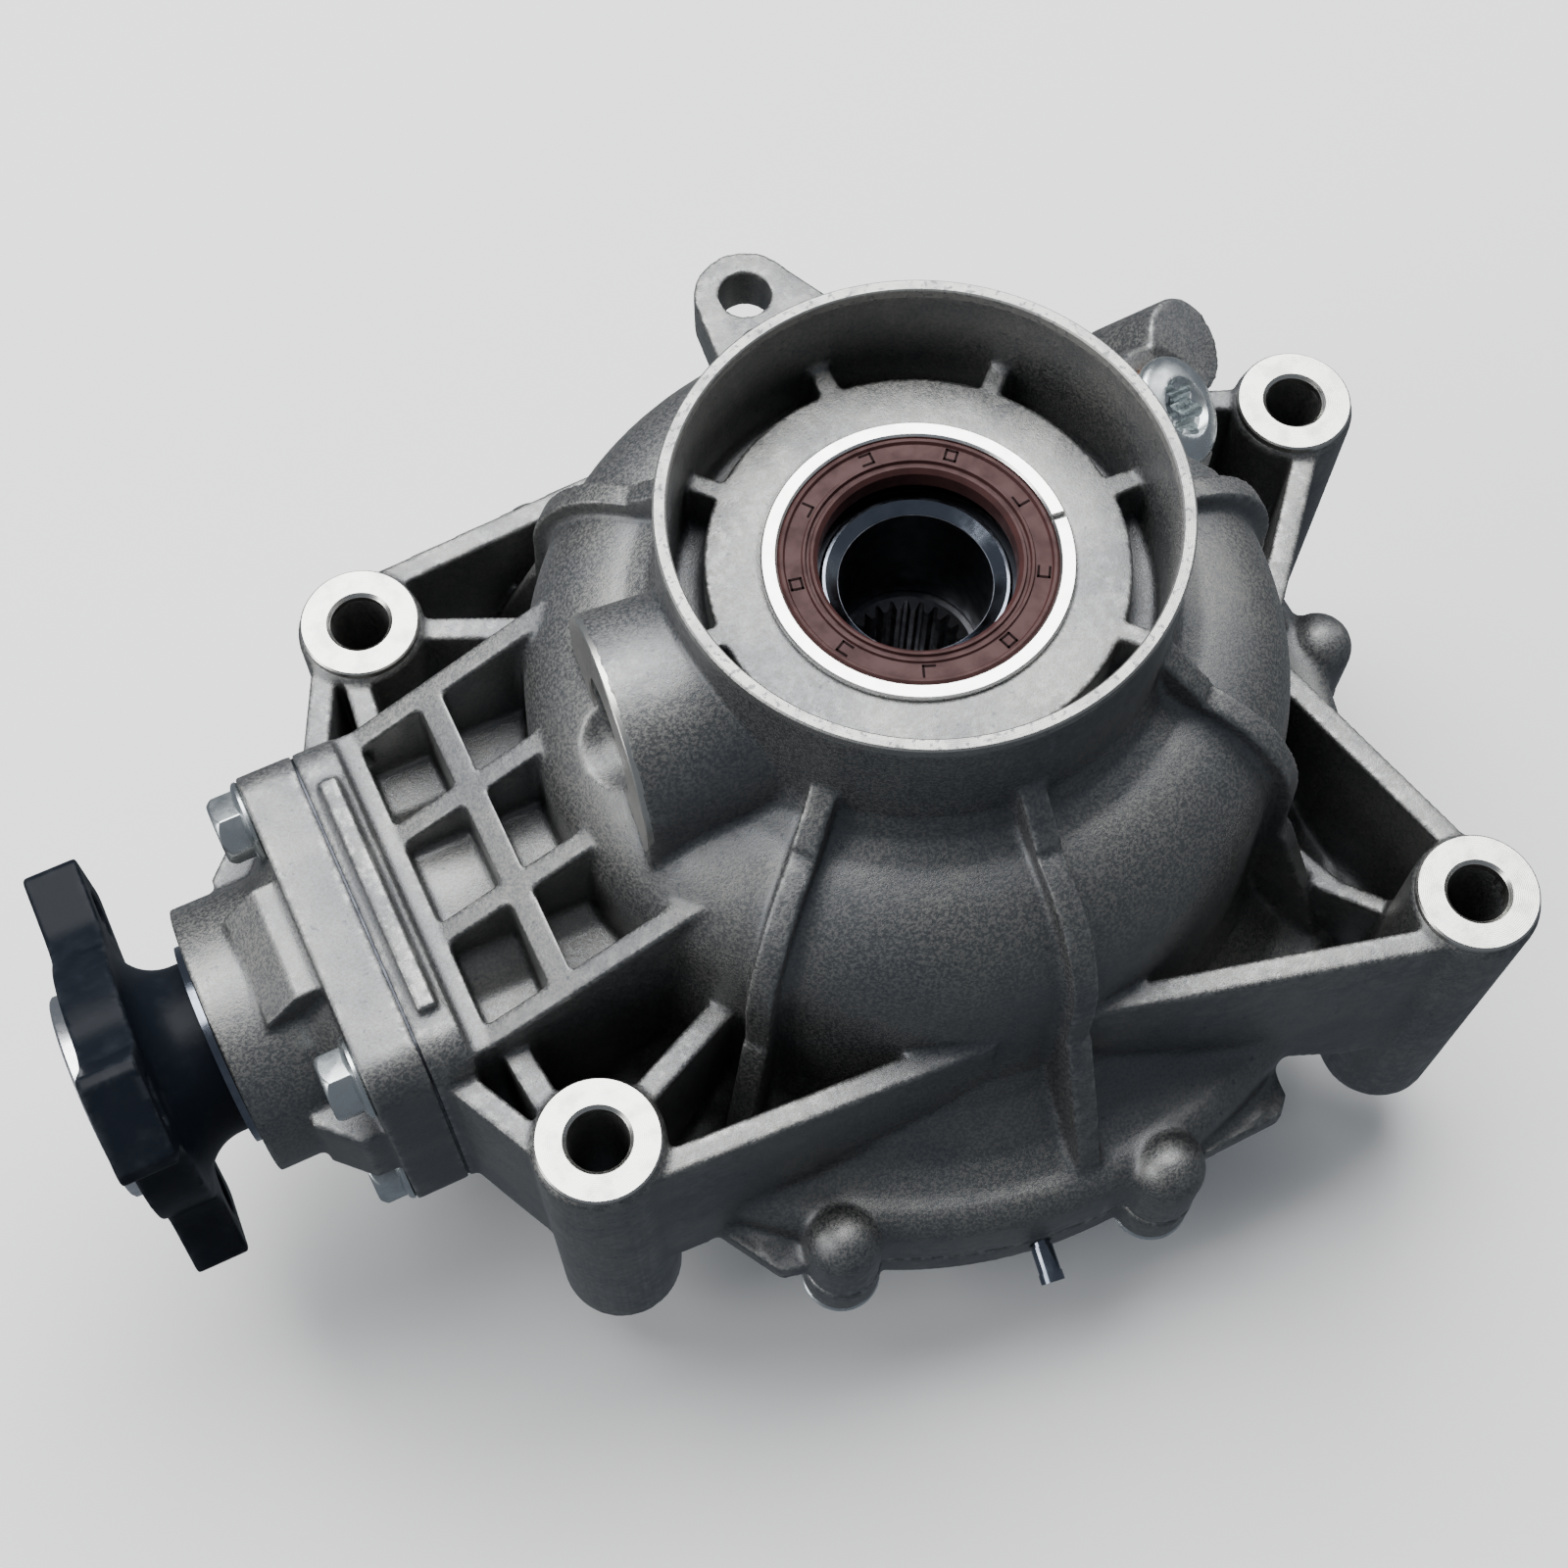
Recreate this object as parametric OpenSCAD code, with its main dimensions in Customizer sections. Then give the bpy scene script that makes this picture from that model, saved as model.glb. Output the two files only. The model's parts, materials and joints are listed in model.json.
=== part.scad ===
// Rear differential for a shaft-driven off-road vehicle.
// The axle line is the Z axis and the pinion axis runs along -X.
// The part stands on the collar of its side cover at Z = 0.

/* [Axle line] */
// Height of the pinion axis above the plane the cover stands on
pinion_z = 80; // [79:0.5:90]
// Pinion axis up to the outer face of the upper axle seal
upper_face_h = 80; // [79:0.5:84]
// Pinion axis down to the outer face of the lower axle seal
lower_face_h = 72; // [71:0.5:75]
// Bore of an axle seal
axle_seal_id = 35; // [31:0.5:37]
// Outside diameter of an axle seal
axle_seal_od = 50; // [46:0.5:54]
// Width of an axle seal
axle_seal_w = 8; // [6:0.5:9]

/* [Collar] */
// Outside radius of the guard collar around an axle seal
collar_r = 46.3; // [45:0.1:50]
// Wall of the guard collar
collar_wall = 2.4; // [2:0.1:3.5]
// Height of the upper collar above its seal face
collar_rise = 17.7; // [10:0.1:24]
// Radius of the bearing boss inside the collar
brg_boss_r = 38; // [37:0.1:40]
// Number of spokes between boss and collar
spoke_count = 8; // [4:1:12]
// Width of a spoke
spoke_w = 4; // [3:0.5:6]
// Depth of the windows between the spokes
window_depth = 11.4; // [6:0.1:11.5]

/* [Main housing] */
// Radius of the dome wall below its shoulder
dome_r = 73; // [72:0.5:76]
// Top of the dome above the pinion axis
dome_h = 64; // [63:0.5:66]
// Radius of the dome's round shoulder
dome_round = 26; // [20:0.5:28]
// Wall of the castings
wall = 5.5; // [4.5:0.1:6]
// Radius of the bolted joint
joint_r = 98; // [96:0.5:102]
// Drop of the joint plane below the pinion axis
joint_drop = 32; // [31.5:0.1:34]
// Width of the sealing land of the joint
land_w = 10; // [8:0.5:11]
// Height of the upright rim above the joint
rim_h = 13; // [10:0.5:15]
// Height of the ribs on the dome
dome_rib_h = 4; // [2:0.5:4]
// Thickness of the ribs on the dome
dome_rib_t = 5; // [3:0.5:6]

/* [Mounting bosses] */
// Radius of a mounting boss
boss_r = 12.5; // [11:0.1:13]
// Radius of its machined face
boss_face_r = 11.7; // [10:0.1:12.4]
// Bore of a mounting boss
boss_bore_d = 11.6; // [10:0.1:14]
// Length of a mounting boss
boss_len = 90; // [80:1:94]
// Top faces of the bosses above the pinion axis
boss_top_h = 30; // [26:0.5:33]
// Centre of each front boss beyond the joint's rim
front_boss_out = 9.5; // [8.5:0.1:12]
// Angle of the front bosses from the pinion axis
front_boss_turn = 32.65; // [32:0.05:34]
// Centre of the side boss beyond the joint's rim
side_boss_out = 17.4; // [16:0.1:20]
// Angle of the side boss, from straight behind the axle
side_boss_turn = -47.45; // [-49:0.05:-46]
// Centre of the rear boss beyond the joint's rim
rear_boss_out = 6.8; // [6:0.1:9]
// Angle of the rear boss, from straight behind the axle
rear_boss_turn = 13.25; // [12:0.05:14]
// Thickness of the webs that carry the bosses
web_t = 5; // [4:0.5:7]

/* [Lifting ear] */
// Distance of the ear hole from the pinion axis
ear_y = 96; // [92:0.5:99]
// Distance of the ear hole behind the axle
ear_x = 11; // [5:0.5:16]
// Tip radius of the ear
ear_r = 10.8; // [9:0.1:13]
// Bore of the ear
ear_bore_d = 11; // [8:0.1:12]
// Thickness of the ear
ear_t = 12; // [8:0.5:14]

/* [Pinion nose] */
// Reach of the split between housing and retainer beyond the joint's rim
nose_reach = 15; // [14.5:0.1:17]
// Distance of each retainer bolt from the pinion axis, both ways
nose_bolt_y = 28; // [27.8:0.1:30]
// Corner radius of the nose flange
nose_corner_r = 8.5; // [8:0.1:10]
// Thickness of the housing's nose flange
nose_flange_t = 8; // [7:0.5:9]
// Thickness of the retainer's flange
retainer_flange_t = 11; // [9:0.5:12]
// Outside radius of the retainer's sleeve
retainer_r = 27.5; // [27.3:0.1:29]
// Length of the retainer from the split to its outer end
retainer_len = 33; // [33:0.5:36]
// Half width of the rib frame on the nose
frame_half_w = 35; // [33:0.5:36]
// Top of the rib frame above the pinion axis, at the flange
frame_low_h = 33; // [32.5:0.5:35]
// Top of the rib frame where it meets the dome
frame_high_h = 54; // [48:0.5:56]
// Thickness of the frame's ribs
frame_rib_t = 4.5; // [3:0.5:5.5]

/* [Actuator port] */
// Outside radius of the port boss
port_r = 22; // [20:0.5:23]
// Bore of the port
port_bore_d = 20; // [18:0.5:24]
// Distance of the port's face from the axle
port_face_x = 61.5; // [60.5:0.5:64]
// Height of the port above the pinion axis
port_h = 66; // [65:0.5:67]

/* [Plugs] */
// Head radius of the fill plug
fill_head_r = 11; // [9:0.1:12]
// Thread diameter of the fill plug
fill_thread_d = 12; // [10:0.5:13]
// Across-flats size of the drain plug
drain_af = 13; // [12:0.5:17]
// Thread diameter of the drain plug
drain_thread_d = 10; // [8:0.5:11]

/* [Pinion bearings] */
// Bore of each pinion bearing
pin_brg_id = 25; // [24:0.1:26]
// Outside diameter of each pinion bearing
pin_brg_od = 47; // [46:0.1:48]
// Width of each pinion bearing
pin_brg_w = 15; // [14:0.1:15.5]
// Gear-side face of the inner pinion bearing, from the axle
pin_brg_in_x = 72; // [71.5:0.1:73]
// Distance of the outer pinion bearing past the split
pin_brg_gap = 5; // [4:0.5:6]
// Number of rollers in each pinion bearing
pin_roller_count = 14; // [10:1:15]

/* [Axle bearings] */
// Bore of each axle bearing
axle_brg_id = 40; // [38:0.5:41]
// Outside diameter of each axle bearing
axle_brg_od = 68; // [66:0.5:69]
// Width of each axle bearing
axle_brg_w = 15; // [13:0.5:15]
// Ball diameter of the axle bearings
axle_ball_d = 7.9; // [7:0.1:8.5]
// Number of balls in each axle bearing
axle_ball_count = 12; // [8:1:14]

/* [Input flange] */
// Reach of the input flange's face beyond the retainer
input_reach = 24; // [23:0.5:27]
// Thickness of the input flange
input_t = 11; // [9:0.5:12]
// Number of arms of the input flange
input_arms = 3; // [3:1:4]
// Radius to the flat end of each arm
input_tip_r = 45; // [42:0.5:48]
// Width of each arm
input_arm_w = 21; // [18:0.5:24]
// Bolt circle radius of the input flange
input_bolt_r = 35; // [33.5:0.5:36]
// Hole diameter in each arm
input_hole_d = 10; // [8:0.1:11]
// Radius of the pilot ring
pilot_r = 21; // [20:0.1:23]
// Height of the pilot ring
pilot_h = 3; // [2:0.1:4]
// Radius of the hub where it runs in the seal
input_hub_r = 17.5; // [17:0.1:18.5]

/* [Final drive] */
// Teeth on the ring gear
ring_teeth = 37; // [35:1:41]
// Teeth on the pinion
pinion_teeth = 11; // [10:1:12]
// Pitch radius of the ring gear at its outer end
ring_pitch_r = 66; // [64:0.5:67]
// Length of the teeth of ring gear and pinion
face_w = 19; // [14:0.5:20]
// Thickness taken off each tooth for backlash
backlash = 0.3; // [0.2:0.05:0.6]
// Thickness of the ring gear behind its teeth
ring_back_t = 6; // [5:0.5:7]

/* [Differential gears] */
// Teeth on each side gear
side_teeth = 16; // [14:2:18]
// Teeth on each spider gear
spider_teeth = 10; // [10:2:10]
// Pitch radius of a side gear at its outer end
side_pitch_r = 24; // [23:0.5:25]
// Length of the teeth of side and spider gears
side_face_w = 9; // [7:0.5:10]
// Tip radius of the splines inside a side gear
spline_tip_r = 11; // [10:0.1:11.6]
// Root radius of the splines inside a side gear
spline_root_r = 12.3; // [11.8:0.1:12.8]
// Number of splines
spline_count = 26; // [20:1:28]
// Diameter of the cross pin
cross_pin_d = 15; // [12:0.5:16]

/* [Differential case] */
// Outside radius of the case
case_r = 41; // [40:0.5:41.5]
// Radius of the case flange behind the ring gear
case_flange_r = 61; // [59:0.5:63]
// Thickness of the case flange
case_flange_t = 7; // [6:0.5:8]
// Bore of the case's journals for the axle
journal_bore_d = 28; // [26:0.1:29]
// Bolt circle radius of the ring gear
ring_bolt_r = 52; // [51:0.5:53.5]
// Number of ring gear bolts
ring_bolt_count = 8; // [6:1:10]

/* [Fasteners] */
// Thread diameter of cover and retainer bolts
bolt_d = 8; // [6:0.5:8]
// Across-flats size of their heads
bolt_af = 12; // [11:0.5:13]
// Height of their heads
bolt_head_h = 7; // [5:0.5:8]
// Flange radius of their heads
bolt_flange_r = 8; // [7:0.1:8.5]

/* [Fits] */
// Radial running clearance between turning pieces
run_fit = 0.05; // [0.02:0.01:0.1]
// Radial clearance of pieces that only slip together
slip_fit = 0.1; // [0.05:0.01:0.2]
// Clearance between castings that pass each other
cast_gap = 1; // [0.5:0.1:1.5]

/* [Hidden] */
$fn = 96;
small_fn = 32;
eps = 0.01;
far = 400;

// Cover bolts and ribs go round the axle line
cover_bolt_angles = [-6, 36, 76, 117, 160, 200, 238, 277, 321];
dome_rib_angles = [for (i = [0 : 6]) i * 45 - 137];
spoke_turn = -2;
// Raised strip across the nose flange, and the low curved web in the bay at the side boss
strip_x = 106.9;
strip_w = 3.7;
strip_half = 25;
strip_rise = 2;
bay_web_h = 4.4;
bay_web_line = [[50, -44], [59.8, -54.9], [63.6, -65.2], [70, -72.6], [76, -80]];

// Joint
gasket_t = 0.5;
joint_h = -joint_drop;
cover_top_h = joint_h - gasket_t;
land_r = joint_r - land_w;
rim_round = 7;
foot_top_h = joint_h + rim_h + rim_round;
bulge_r = 7.6;
bulge_h = 15;
bolt_hole_depth = 16;
cover_bolt_pcr = joint_r + 0.5;
cover_flange_t = 10;
cover_low_h = cover_top_h - cover_flange_t;
cover_pad_t = 0.6;
cover_seat_h = cover_low_h - cover_pad_t;
cover_floor_h = -lower_face_h + 20;
cover_floor_t = 6;
cover_floor_r = 62;
cover_bolt_room = 12;
cover_shell_r = joint_r - cover_bolt_room;

// Dowel pins and the lug plates beside the joint
dowel_d = 6;
dowel_len = 10;
dowel_angles = [57, 219];
dowel_pcr = joint_r - land_w / 2;
lug_angles = [-130, -69];
lug_t = 6;
lug_pad_r = 3;

// Axle bearings and seals
brg_lip = 2.5;
upper_brg_top = upper_face_h - axle_seal_w - brg_lip;
upper_brg_bot = upper_brg_top - axle_brg_w;
lower_brg_bot = -lower_face_h + axle_seal_w + brg_lip;
lower_brg_top = lower_brg_bot + axle_brg_w;
seal_ring_w = 2.9;
seal_ring_r = axle_seal_od / 2 + seal_ring_w;
seal_back_r = axle_seal_od / 2 - 2;
boss_rim_drop = 1;
window_floor_h = upper_face_h - boss_rim_drop - window_depth;
journal_r = axle_brg_id / 2;
journal_bore_r = journal_bore_d / 2;
brg_pitch_r = (axle_brg_id + axle_brg_od) / 4;
ball_groove_r = axle_ball_d / 2 + run_fit;
race_gap = axle_ball_d * 0.28;
cage_t = 1.2;

// Mounting bosses, [x, y] from the axle line
front_boss = (joint_r + front_boss_out) * [-cos(front_boss_turn), sin(front_boss_turn)];
side_boss = (joint_r + side_boss_out) * [cos(side_boss_turn), sin(side_boss_turn)];
rear_boss = (joint_r + rear_boss_out) * [cos(rear_boss_turn), sin(rear_boss_turn)];
bosses = [front_boss, [front_boss[0], -front_boss[1]], side_boss, rear_boss];
boss_bot_h = boss_top_h - boss_len;
boss_step = 2.5;
web_top_h = boss_top_h - 3;
web_wall_x = 17;
web_wall_y = dome_r - 3;
ear_base_y = dome_r - 6;

// Pinion nose
split_x = joint_r + nose_reach;
retainer_end_x = split_x + retainer_len;
pin_brg_out_x = split_x + pin_brg_gap;
input_face_x = retainer_end_x + input_reach;
nose_half = nose_bolt_y + nose_corner_r;
spigot_r = pin_brg_od / 2 + 3.5;
spigot_len = 6;
shim_t = 0.4;
nose_tube_r = joint_drop - 0.5;
nose_relief_r = 20;
frame_x = split_x - nose_flange_t;
pocket_len = 13;
pocket_wall = 4.5;
retainer_x = split_x + shim_t;
retainer_face_x = retainer_x + retainer_flange_t;
pin_cup_r = pin_brg_od / 2;
pin_cone_r = pin_brg_id / 2;
pin_seal_w = 7;
pin_seal_x = retainer_end_x - pin_seal_w - 1;
pin_seat_end_x = pin_brg_out_x + pin_brg_w;

// Input flange, nut and the end of the pinion shaft
input_back_x = input_face_x - input_t;
spline_x = pin_seat_end_x - 0.5;
shaft_end_x = input_face_x - 3;
shaft_r = 11;
shaft_tail_r = 8;
nut_af = 24;
nut_h = 10;
nut_washer_t = 2.5;
nut_seat_x = input_face_x - 16;

// Tapered rollers, worked out from the point where their cones meet
roller_tilt = 12.5;
roller_mid_r = (pin_cup_r + pin_cone_r) / 2;
roller_apex = roller_mid_r / tan(roller_tilt);
roller_half = 1.85;
roller_len = pin_brg_w - 4.5;
roller_play = 0.06;

// Bevel gears, worked out from the point where their cones meet
ring_angle = atan(ring_teeth / pinion_teeth);
pinion_pitch_r = ring_pitch_r * pinion_teeth / ring_teeth;
drive_module = 2 * ring_pitch_r / ring_teeth;
ring_add = 0.55;
ring_ded = 1.3;
pinion_add = 1.1;
pinion_ded = 0.78;
pinion_shift = 0.2;
side_module = 2 * side_pitch_r / side_teeth;
side_angle = atan(side_teeth / spider_teeth);
spider_pitch_r = side_pitch_r * spider_teeth / side_teeth;
side_add = 0.7;
side_ded = 1.12;
spider_add = 0.95;
spider_ded = 0.9;
spider_shift = 0.12;
pressure = 20;
flank_steps = 4;

// Differential case
ring_pitch_h = -pinion_pitch_r;
ring_back_h = ring_pitch_h - drive_module * ring_ded - ring_back_t;
flange_low_h = ring_back_h - case_flange_t;
side_back_h = spider_pitch_r + 7.5;
thrust_t = 1;
thrust_play = 0.05;
case_wall = 6;
hub_r = 17.8;
hub_end_h = 42;
cavity_r = side_pitch_r + 4;
case_cap_h = side_back_h + thrust_t + case_wall;
spider_back = side_pitch_r + 5.5;
spider_room = spider_back + 0.3;
spider_tip_r = spider_pitch_r + spider_add * side_module * cos(90 - side_angle);
shoulder_r = journal_r + 4;
ring_bolt_head_h = 5;
ring_bolt_af = 12;
ring_bolt_grip = 5;
lock_d = 5;
lock_len = 18;

// Fill plug, on a slanted seat on the dome's shoulder
fill_pos = [67.2, 22, 50];
fill_turn = -37.8;
fill_lean = 40;
fill_thread_len = 14;
fill_seat_len = 17;
fill_socket_r = 4.6;
plug_washer_t = 1.5;

// Actuator port, whose axis leans a little off the pinion's direction
port_turn = -5.6;
port_y = -2;
port_depth = 14;
port_open_len = 7.1;
port_mouth = 0.6;
port_way_out = 8;
port_body_len = port_face_x - collar_r + 16;
cup_r = port_bore_d / 2 - 0.5;
cup_wall = 1.2;
cup_h = 6;

// Drain plug, on the outer slope of the cover
drain_r = 70;
drain_turn = 98;
drain_lean = 32;
drain_h = -50;
drain_seat = 12;
drain_head_h = 7;

// Vent, pointing outwards below the joint
vent_turn = -98;
vent_lean = 100;
vent_d = 5;
vent_bore_d = 2;
vent_len = 8;
vent_root = 6;

module up(h) {
    translate([0, 0, pinion_z + h]) children();
}

// Puts a shape drawn along Z onto the pinion axis, with Z pointing to the nose
module on_pinion() {
    translate([0, 0, pinion_z]) rotate([0, -90, 0]) children();
}

module tube(r_out, r_in, h, z = 0) {
    translate([0, 0, z]) difference() {
        cylinder(r = r_out, h = h);
        translate([0, 0, -eps]) cylinder(r = r_in, h = h + 2 * eps);
    }
}

module hex(af, h) {
    cylinder(r = af / 2 / cos(30), h = h, $fn = 6);
}

// Flange head at the origin, thread pointing down
module flange_bolt(len, d = bolt_d) {
    washer_t = 1.6;
    difference() {
        union() {
            cylinder(r = bolt_flange_r, h = washer_t);
            intersection() {
                hex(bolt_af, bolt_head_h);
                translate([0, 0, -eps])
                    cylinder(r1 = bolt_af * 0.75, r2 = bolt_af * 0.48, h = bolt_head_h + 2 * eps);
            }
        }
        translate([0, 0, bolt_head_h - 1]) cylinder(d = bolt_af * 0.55, h = 2);
    }
    translate([0, 0, -len]) cylinder(d = d - 2 * slip_fit, h = len + eps);
}

module around(r, angles) {
    for (a = angles)
        rotate([0, 0, a]) translate([r, 0, 0]) children();
}

// Plan outline of the nose flange, drawn across the pinion axis
module nose_outline(grow = 0) {
    square([2 * nose_bolt_y, 2 * (nose_half + grow)], center = true);
    square([2 * (nose_half + grow), 2 * nose_bolt_y], center = true);
    for (u = [-1, 1], v = [-1, 1])
        translate([u * nose_bolt_y, v * nose_bolt_y]) circle(r = nose_corner_r + grow);
}

module nose_bolt_places() {
    for (u = [-1, 1], v = [-1, 1])
        translate([u * nose_bolt_y, v * nose_bolt_y, 0]) children();
}

module cover_bolt_places() {
    around(cover_bolt_pcr, cover_bolt_angles) children();
}

module dowel_places() {
    around(dowel_pcr, dowel_angles) children();
}

module boss_places() {
    for (p = bosses)
        translate([p[0], p[1], 0]) children();
}

// Upright web from boss p to point q on the dome wall
module web(p, q, foot_h = -4) {
    run = norm(q - p);
    u = (q - p) / run;
    translate([p[0], p[1], 0]) rotate([0, 0, atan2(u[1], u[0])])
        translate([0, web_t / 2, 0]) rotate([90, 0, 0]) linear_extrude(web_t)
            polygon([[0, web_top_h], [run, web_top_h], [run, foot_h],
                [boss_r + 2, joint_h + 1], [0, joint_h + 1]]);
}

// Half section of the dome, heights from the pinion axis
module dome_section(grow = 0) {
    r = dome_r + grow;
    shoulder = dome_round + grow;
    top = dome_h + grow;
    square([r - shoulder, top]);
    translate([r - shoulder, top - shoulder]) circle(r = shoulder);
    polygon([[0, joint_h], [r + 1.5, joint_h], [r + 1.5, 8], [r, top - shoulder],
        [0, top - shoulder]]);
}

// The flared foot that ends in the bolted joint
module foot_section() {
    polygon([[0, joint_h - 1], [joint_r, joint_h - 1], [joint_r, joint_h + rim_h],
        [joint_r - rim_round, foot_top_h], [joint_r - rim_round - 6, foot_top_h + 3],
        [dome_r + 4, foot_top_h + 12], [dome_r + 1, foot_top_h + 20], [0, foot_top_h + 20]]);
    translate([joint_r - rim_round, joint_h + rim_h]) circle(r = rim_round);
}

module dome_cavity() {
    in_r = dome_r - wall;
    in_round = dome_round - wall;
    rotate_extrude() {
        square([in_r - in_round, dome_h - wall]);
        translate([in_r - in_round, dome_h - wall - in_round]) circle(r = in_round);
        polygon([[0, joint_h - 1], [land_r, joint_h - 1], [land_r - 1, joint_h + rim_h],
            [in_r + 5, joint_h + rim_h + 9], [in_r, joint_h + rim_h + 18],
            [in_r, dome_h - wall - in_round], [0, dome_h - wall - in_round]]);
    }
}

module dome_ribs() {
    for (a = dome_rib_angles) rotate([0, 0, a])
        translate([0, dome_rib_t / 2, 0]) rotate([90, 0, 0]) linear_extrude(dome_rib_t) {
            dome_section(dome_rib_h);
            polygon([[0, joint_h + 1], [joint_r - rim_round, joint_h + 1],
                [joint_r - rim_round + 2, foot_top_h], [dome_r + dome_rib_h + 1.5, 26], [0, 26]]);
            polygon([[collar_r - 1, 0], [collar_r + 9, dome_h + dome_rib_h - eps],
                [collar_r, dome_h + 13], [collar_r - 1, dome_h + 13]]);
        }
}

module collar_section() {
    translate([collar_r - collar_wall, dome_h - wall])
        square([collar_wall, upper_face_h + collar_rise - dome_h + wall]);
    polygon([[collar_r - collar_wall, dome_h - wall], [collar_r + 7, dome_h - wall],
        [collar_r + 7, dome_h - 1], [collar_r + 2, dome_h + 2],
        [collar_r, dome_h + 7], [collar_r - collar_wall, dome_h + 7]]);
    translate([0, upper_brg_bot - 3])
        square([brg_boss_r, upper_face_h - boss_rim_drop - upper_brg_bot + 3]);
    translate([0, dome_h - wall])
        square([collar_r - eps, window_floor_h - dome_h + wall]);
}

module spokes() {
    for (i = [0 : spoke_count - 1])
        rotate([0, 0, i * 360 / spoke_count + spoke_turn])
            translate([brg_boss_r - 4, -spoke_w / 2, dome_h - wall])
                cube([collar_r - collar_wall / 2 - brg_boss_r + 4, spoke_w,
                    upper_face_h - boss_rim_drop - dome_h + wall]);
}

// The nose between dome and split: tube, flange, lower keel and rib frame
module nose_body() {
    difference() {
        union() {
            rotate([0, -90, 0]) translate([0, 0, dome_r / 2])
                cylinder(r = nose_tube_r, h = split_x - dome_r / 2);
            rotate([0, -90, 0]) translate([0, 0, frame_x])
                linear_extrude(nose_flange_t) nose_outline();
            translate([0, frame_half_w, 0]) rotate([90, 0, 0]) linear_extrude(2 * frame_half_w)
                polygon([[-frame_x - eps, 0], [-frame_x - eps, frame_low_h],
                    [-frame_x + 4, frame_low_h], [-dome_r + 15, frame_high_h],
                    [-dome_r + 33, frame_high_h], [-dome_r + 33, 0]]);
            translate([-frame_x - eps, -frame_half_w, joint_h + 8])
                cube([frame_x - dome_r / 2, 2 * frame_half_w, joint_drop]);
        }
        frame_pockets();
    }
}

module frame_pockets() {
    bay = (2 * frame_half_w - 4 * frame_rib_t) / 3;
    front_x = -frame_x + frame_rib_t;
    rear_x = front_x + pocket_len + frame_rib_t;
    rear_len = -dome_r + 12 - rear_x;
    for (i = [0 : 2]) {
        y = -frame_half_w + frame_rib_t + i * (bay + frame_rib_t);
        side_drop = i == 1 ? 0 : 5;
        translate([front_x, y, nose_relief_r + pocket_wall - side_drop])
            cube([pocket_len, bay, far]);
        translate([rear_x, y, pin_cup_r + 4 - side_drop]) cube([rear_len, bay, far]);
    }
}

// Flat lug with a round pad beside the joint
module joint_lug(a) {
    rotate([0, 0, a]) {
        translate([0, 0, joint_h + 1]) linear_extrude(lug_t)
            polygon([[joint_r - 6, -15], [joint_r + 1, -14], [joint_r + 7, 3],
                [joint_r + 5, 7], [joint_r - 6, 13]]);
        translate([joint_r + 1.5, 0, joint_h + 1])
            cylinder(r = lug_pad_r, h = lug_t + 0.6, $fn = small_fn);
    }
}

module at_fill() {
    translate(fill_pos) rotate([0, fill_lean, fill_turn]) children();
}

module at_port() {
    translate([-port_face_x, port_y, port_h]) rotate([0, 0, port_turn])
        rotate([0, -90, 0]) children();
}

module at_drain() {
    rotate([0, 0, drain_turn]) translate([drain_r, 0, drain_h])
        rotate([0, 180 - drain_lean, 0]) children();
}

module at_vent() {
    rotate([0, 0, vent_turn]) translate([joint_r, 0, cover_top_h - cover_flange_t / 2])
        rotate([0, vent_lean, 0]) children();
}

// Seat of the cup plug, open bore, and a shallow way out past the dome's shoulder
module port_bore() {
    r = port_bore_d / 2;
    rotate_extrude()
        polygon([[0, -port_depth], [cup_r, -port_depth], [cup_r, -port_open_len - r + cup_r],
            [r, -port_open_len], [r, -port_mouth], [r + port_mouth, -port_mouth],
            [r + port_mouth, port_way_out], [0, port_way_out]]);
}

// Round boss of the port, with a flat-sided foot down into the dome
module port_body() {
    difference() {
        at_port() translate([0, 0, -port_body_len]) {
            cylinder(r = port_r, h = port_body_len);
            translate([-port_r - 18, -port_r, 0]) cube([port_r + 18, 2 * port_r, port_body_len]);
        }
        translate([0, 0, dome_h - 1]) cylinder(r = collar_r - 1, h = far);
    }
}

// Cast seat of the fill plug, with a lump beside it
module fill_boss() {
    at_fill() {
        translate([0, 0, -fill_seat_len]) cylinder(r = fill_head_r + 3.5, h = fill_seat_len);
        translate([1, 17, -fill_seat_len - 2]) cylinder(r = 10, h = fill_seat_len + 3);
    }
}

module ear_plate() {
    translate([0, 0, boss_top_h - ear_t]) linear_extrude(ear_t) {
        translate([ear_x, ear_y]) circle(r = ear_r);
        polygon([[ear_x - ear_r, ear_y], [ear_x + ear_r * 0.86, ear_y + ear_r * 0.5],
            [ear_x + 26, ear_base_y], [ear_x - ear_r - 3, ear_base_y]]);
    }
    translate([ear_x - web_t / 2, ear_base_y - 2, joint_h + rim_h])
        cube([web_t, ear_y - ear_base_y - ear_r, boss_top_h - joint_h - rim_h - 2]);
}

module boss_webs() {
    for (s = [-1, 1]) {
        front = [front_boss[0], s * front_boss[1]];
        web(front + [0, s * 8], [-web_wall_x, s * web_wall_y]);
        web(front, [-dome_r * 0.77, s * dome_r * 0.58], joint_h + 6);
        web(front + [-4, 0], [front[0] - 7, s * (frame_half_w - 3)], joint_h + 6);
        web(front + [-7.5, 0], [-split_x + 3, s * (nose_half - 3)], joint_h + 2);
    }
    web(side_boss + [-3, -6], [0, -dome_r + 1]);
    web(side_boss + [5, 3], [dome_r * 0.94, -dome_r * 0.36]);
    web(rear_boss + [4, -3], [dome_r, -dome_r * 0.22]);
    web(rear_boss + [-2, 4], [dome_r * 0.8, dome_r * 0.62]);
}

module nose_strip() {
    translate([-strip_x - strip_w, -strip_half, nose_half - 6])
        cube([strip_w, 2 * strip_half, 6 + strip_rise]);
}

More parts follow.
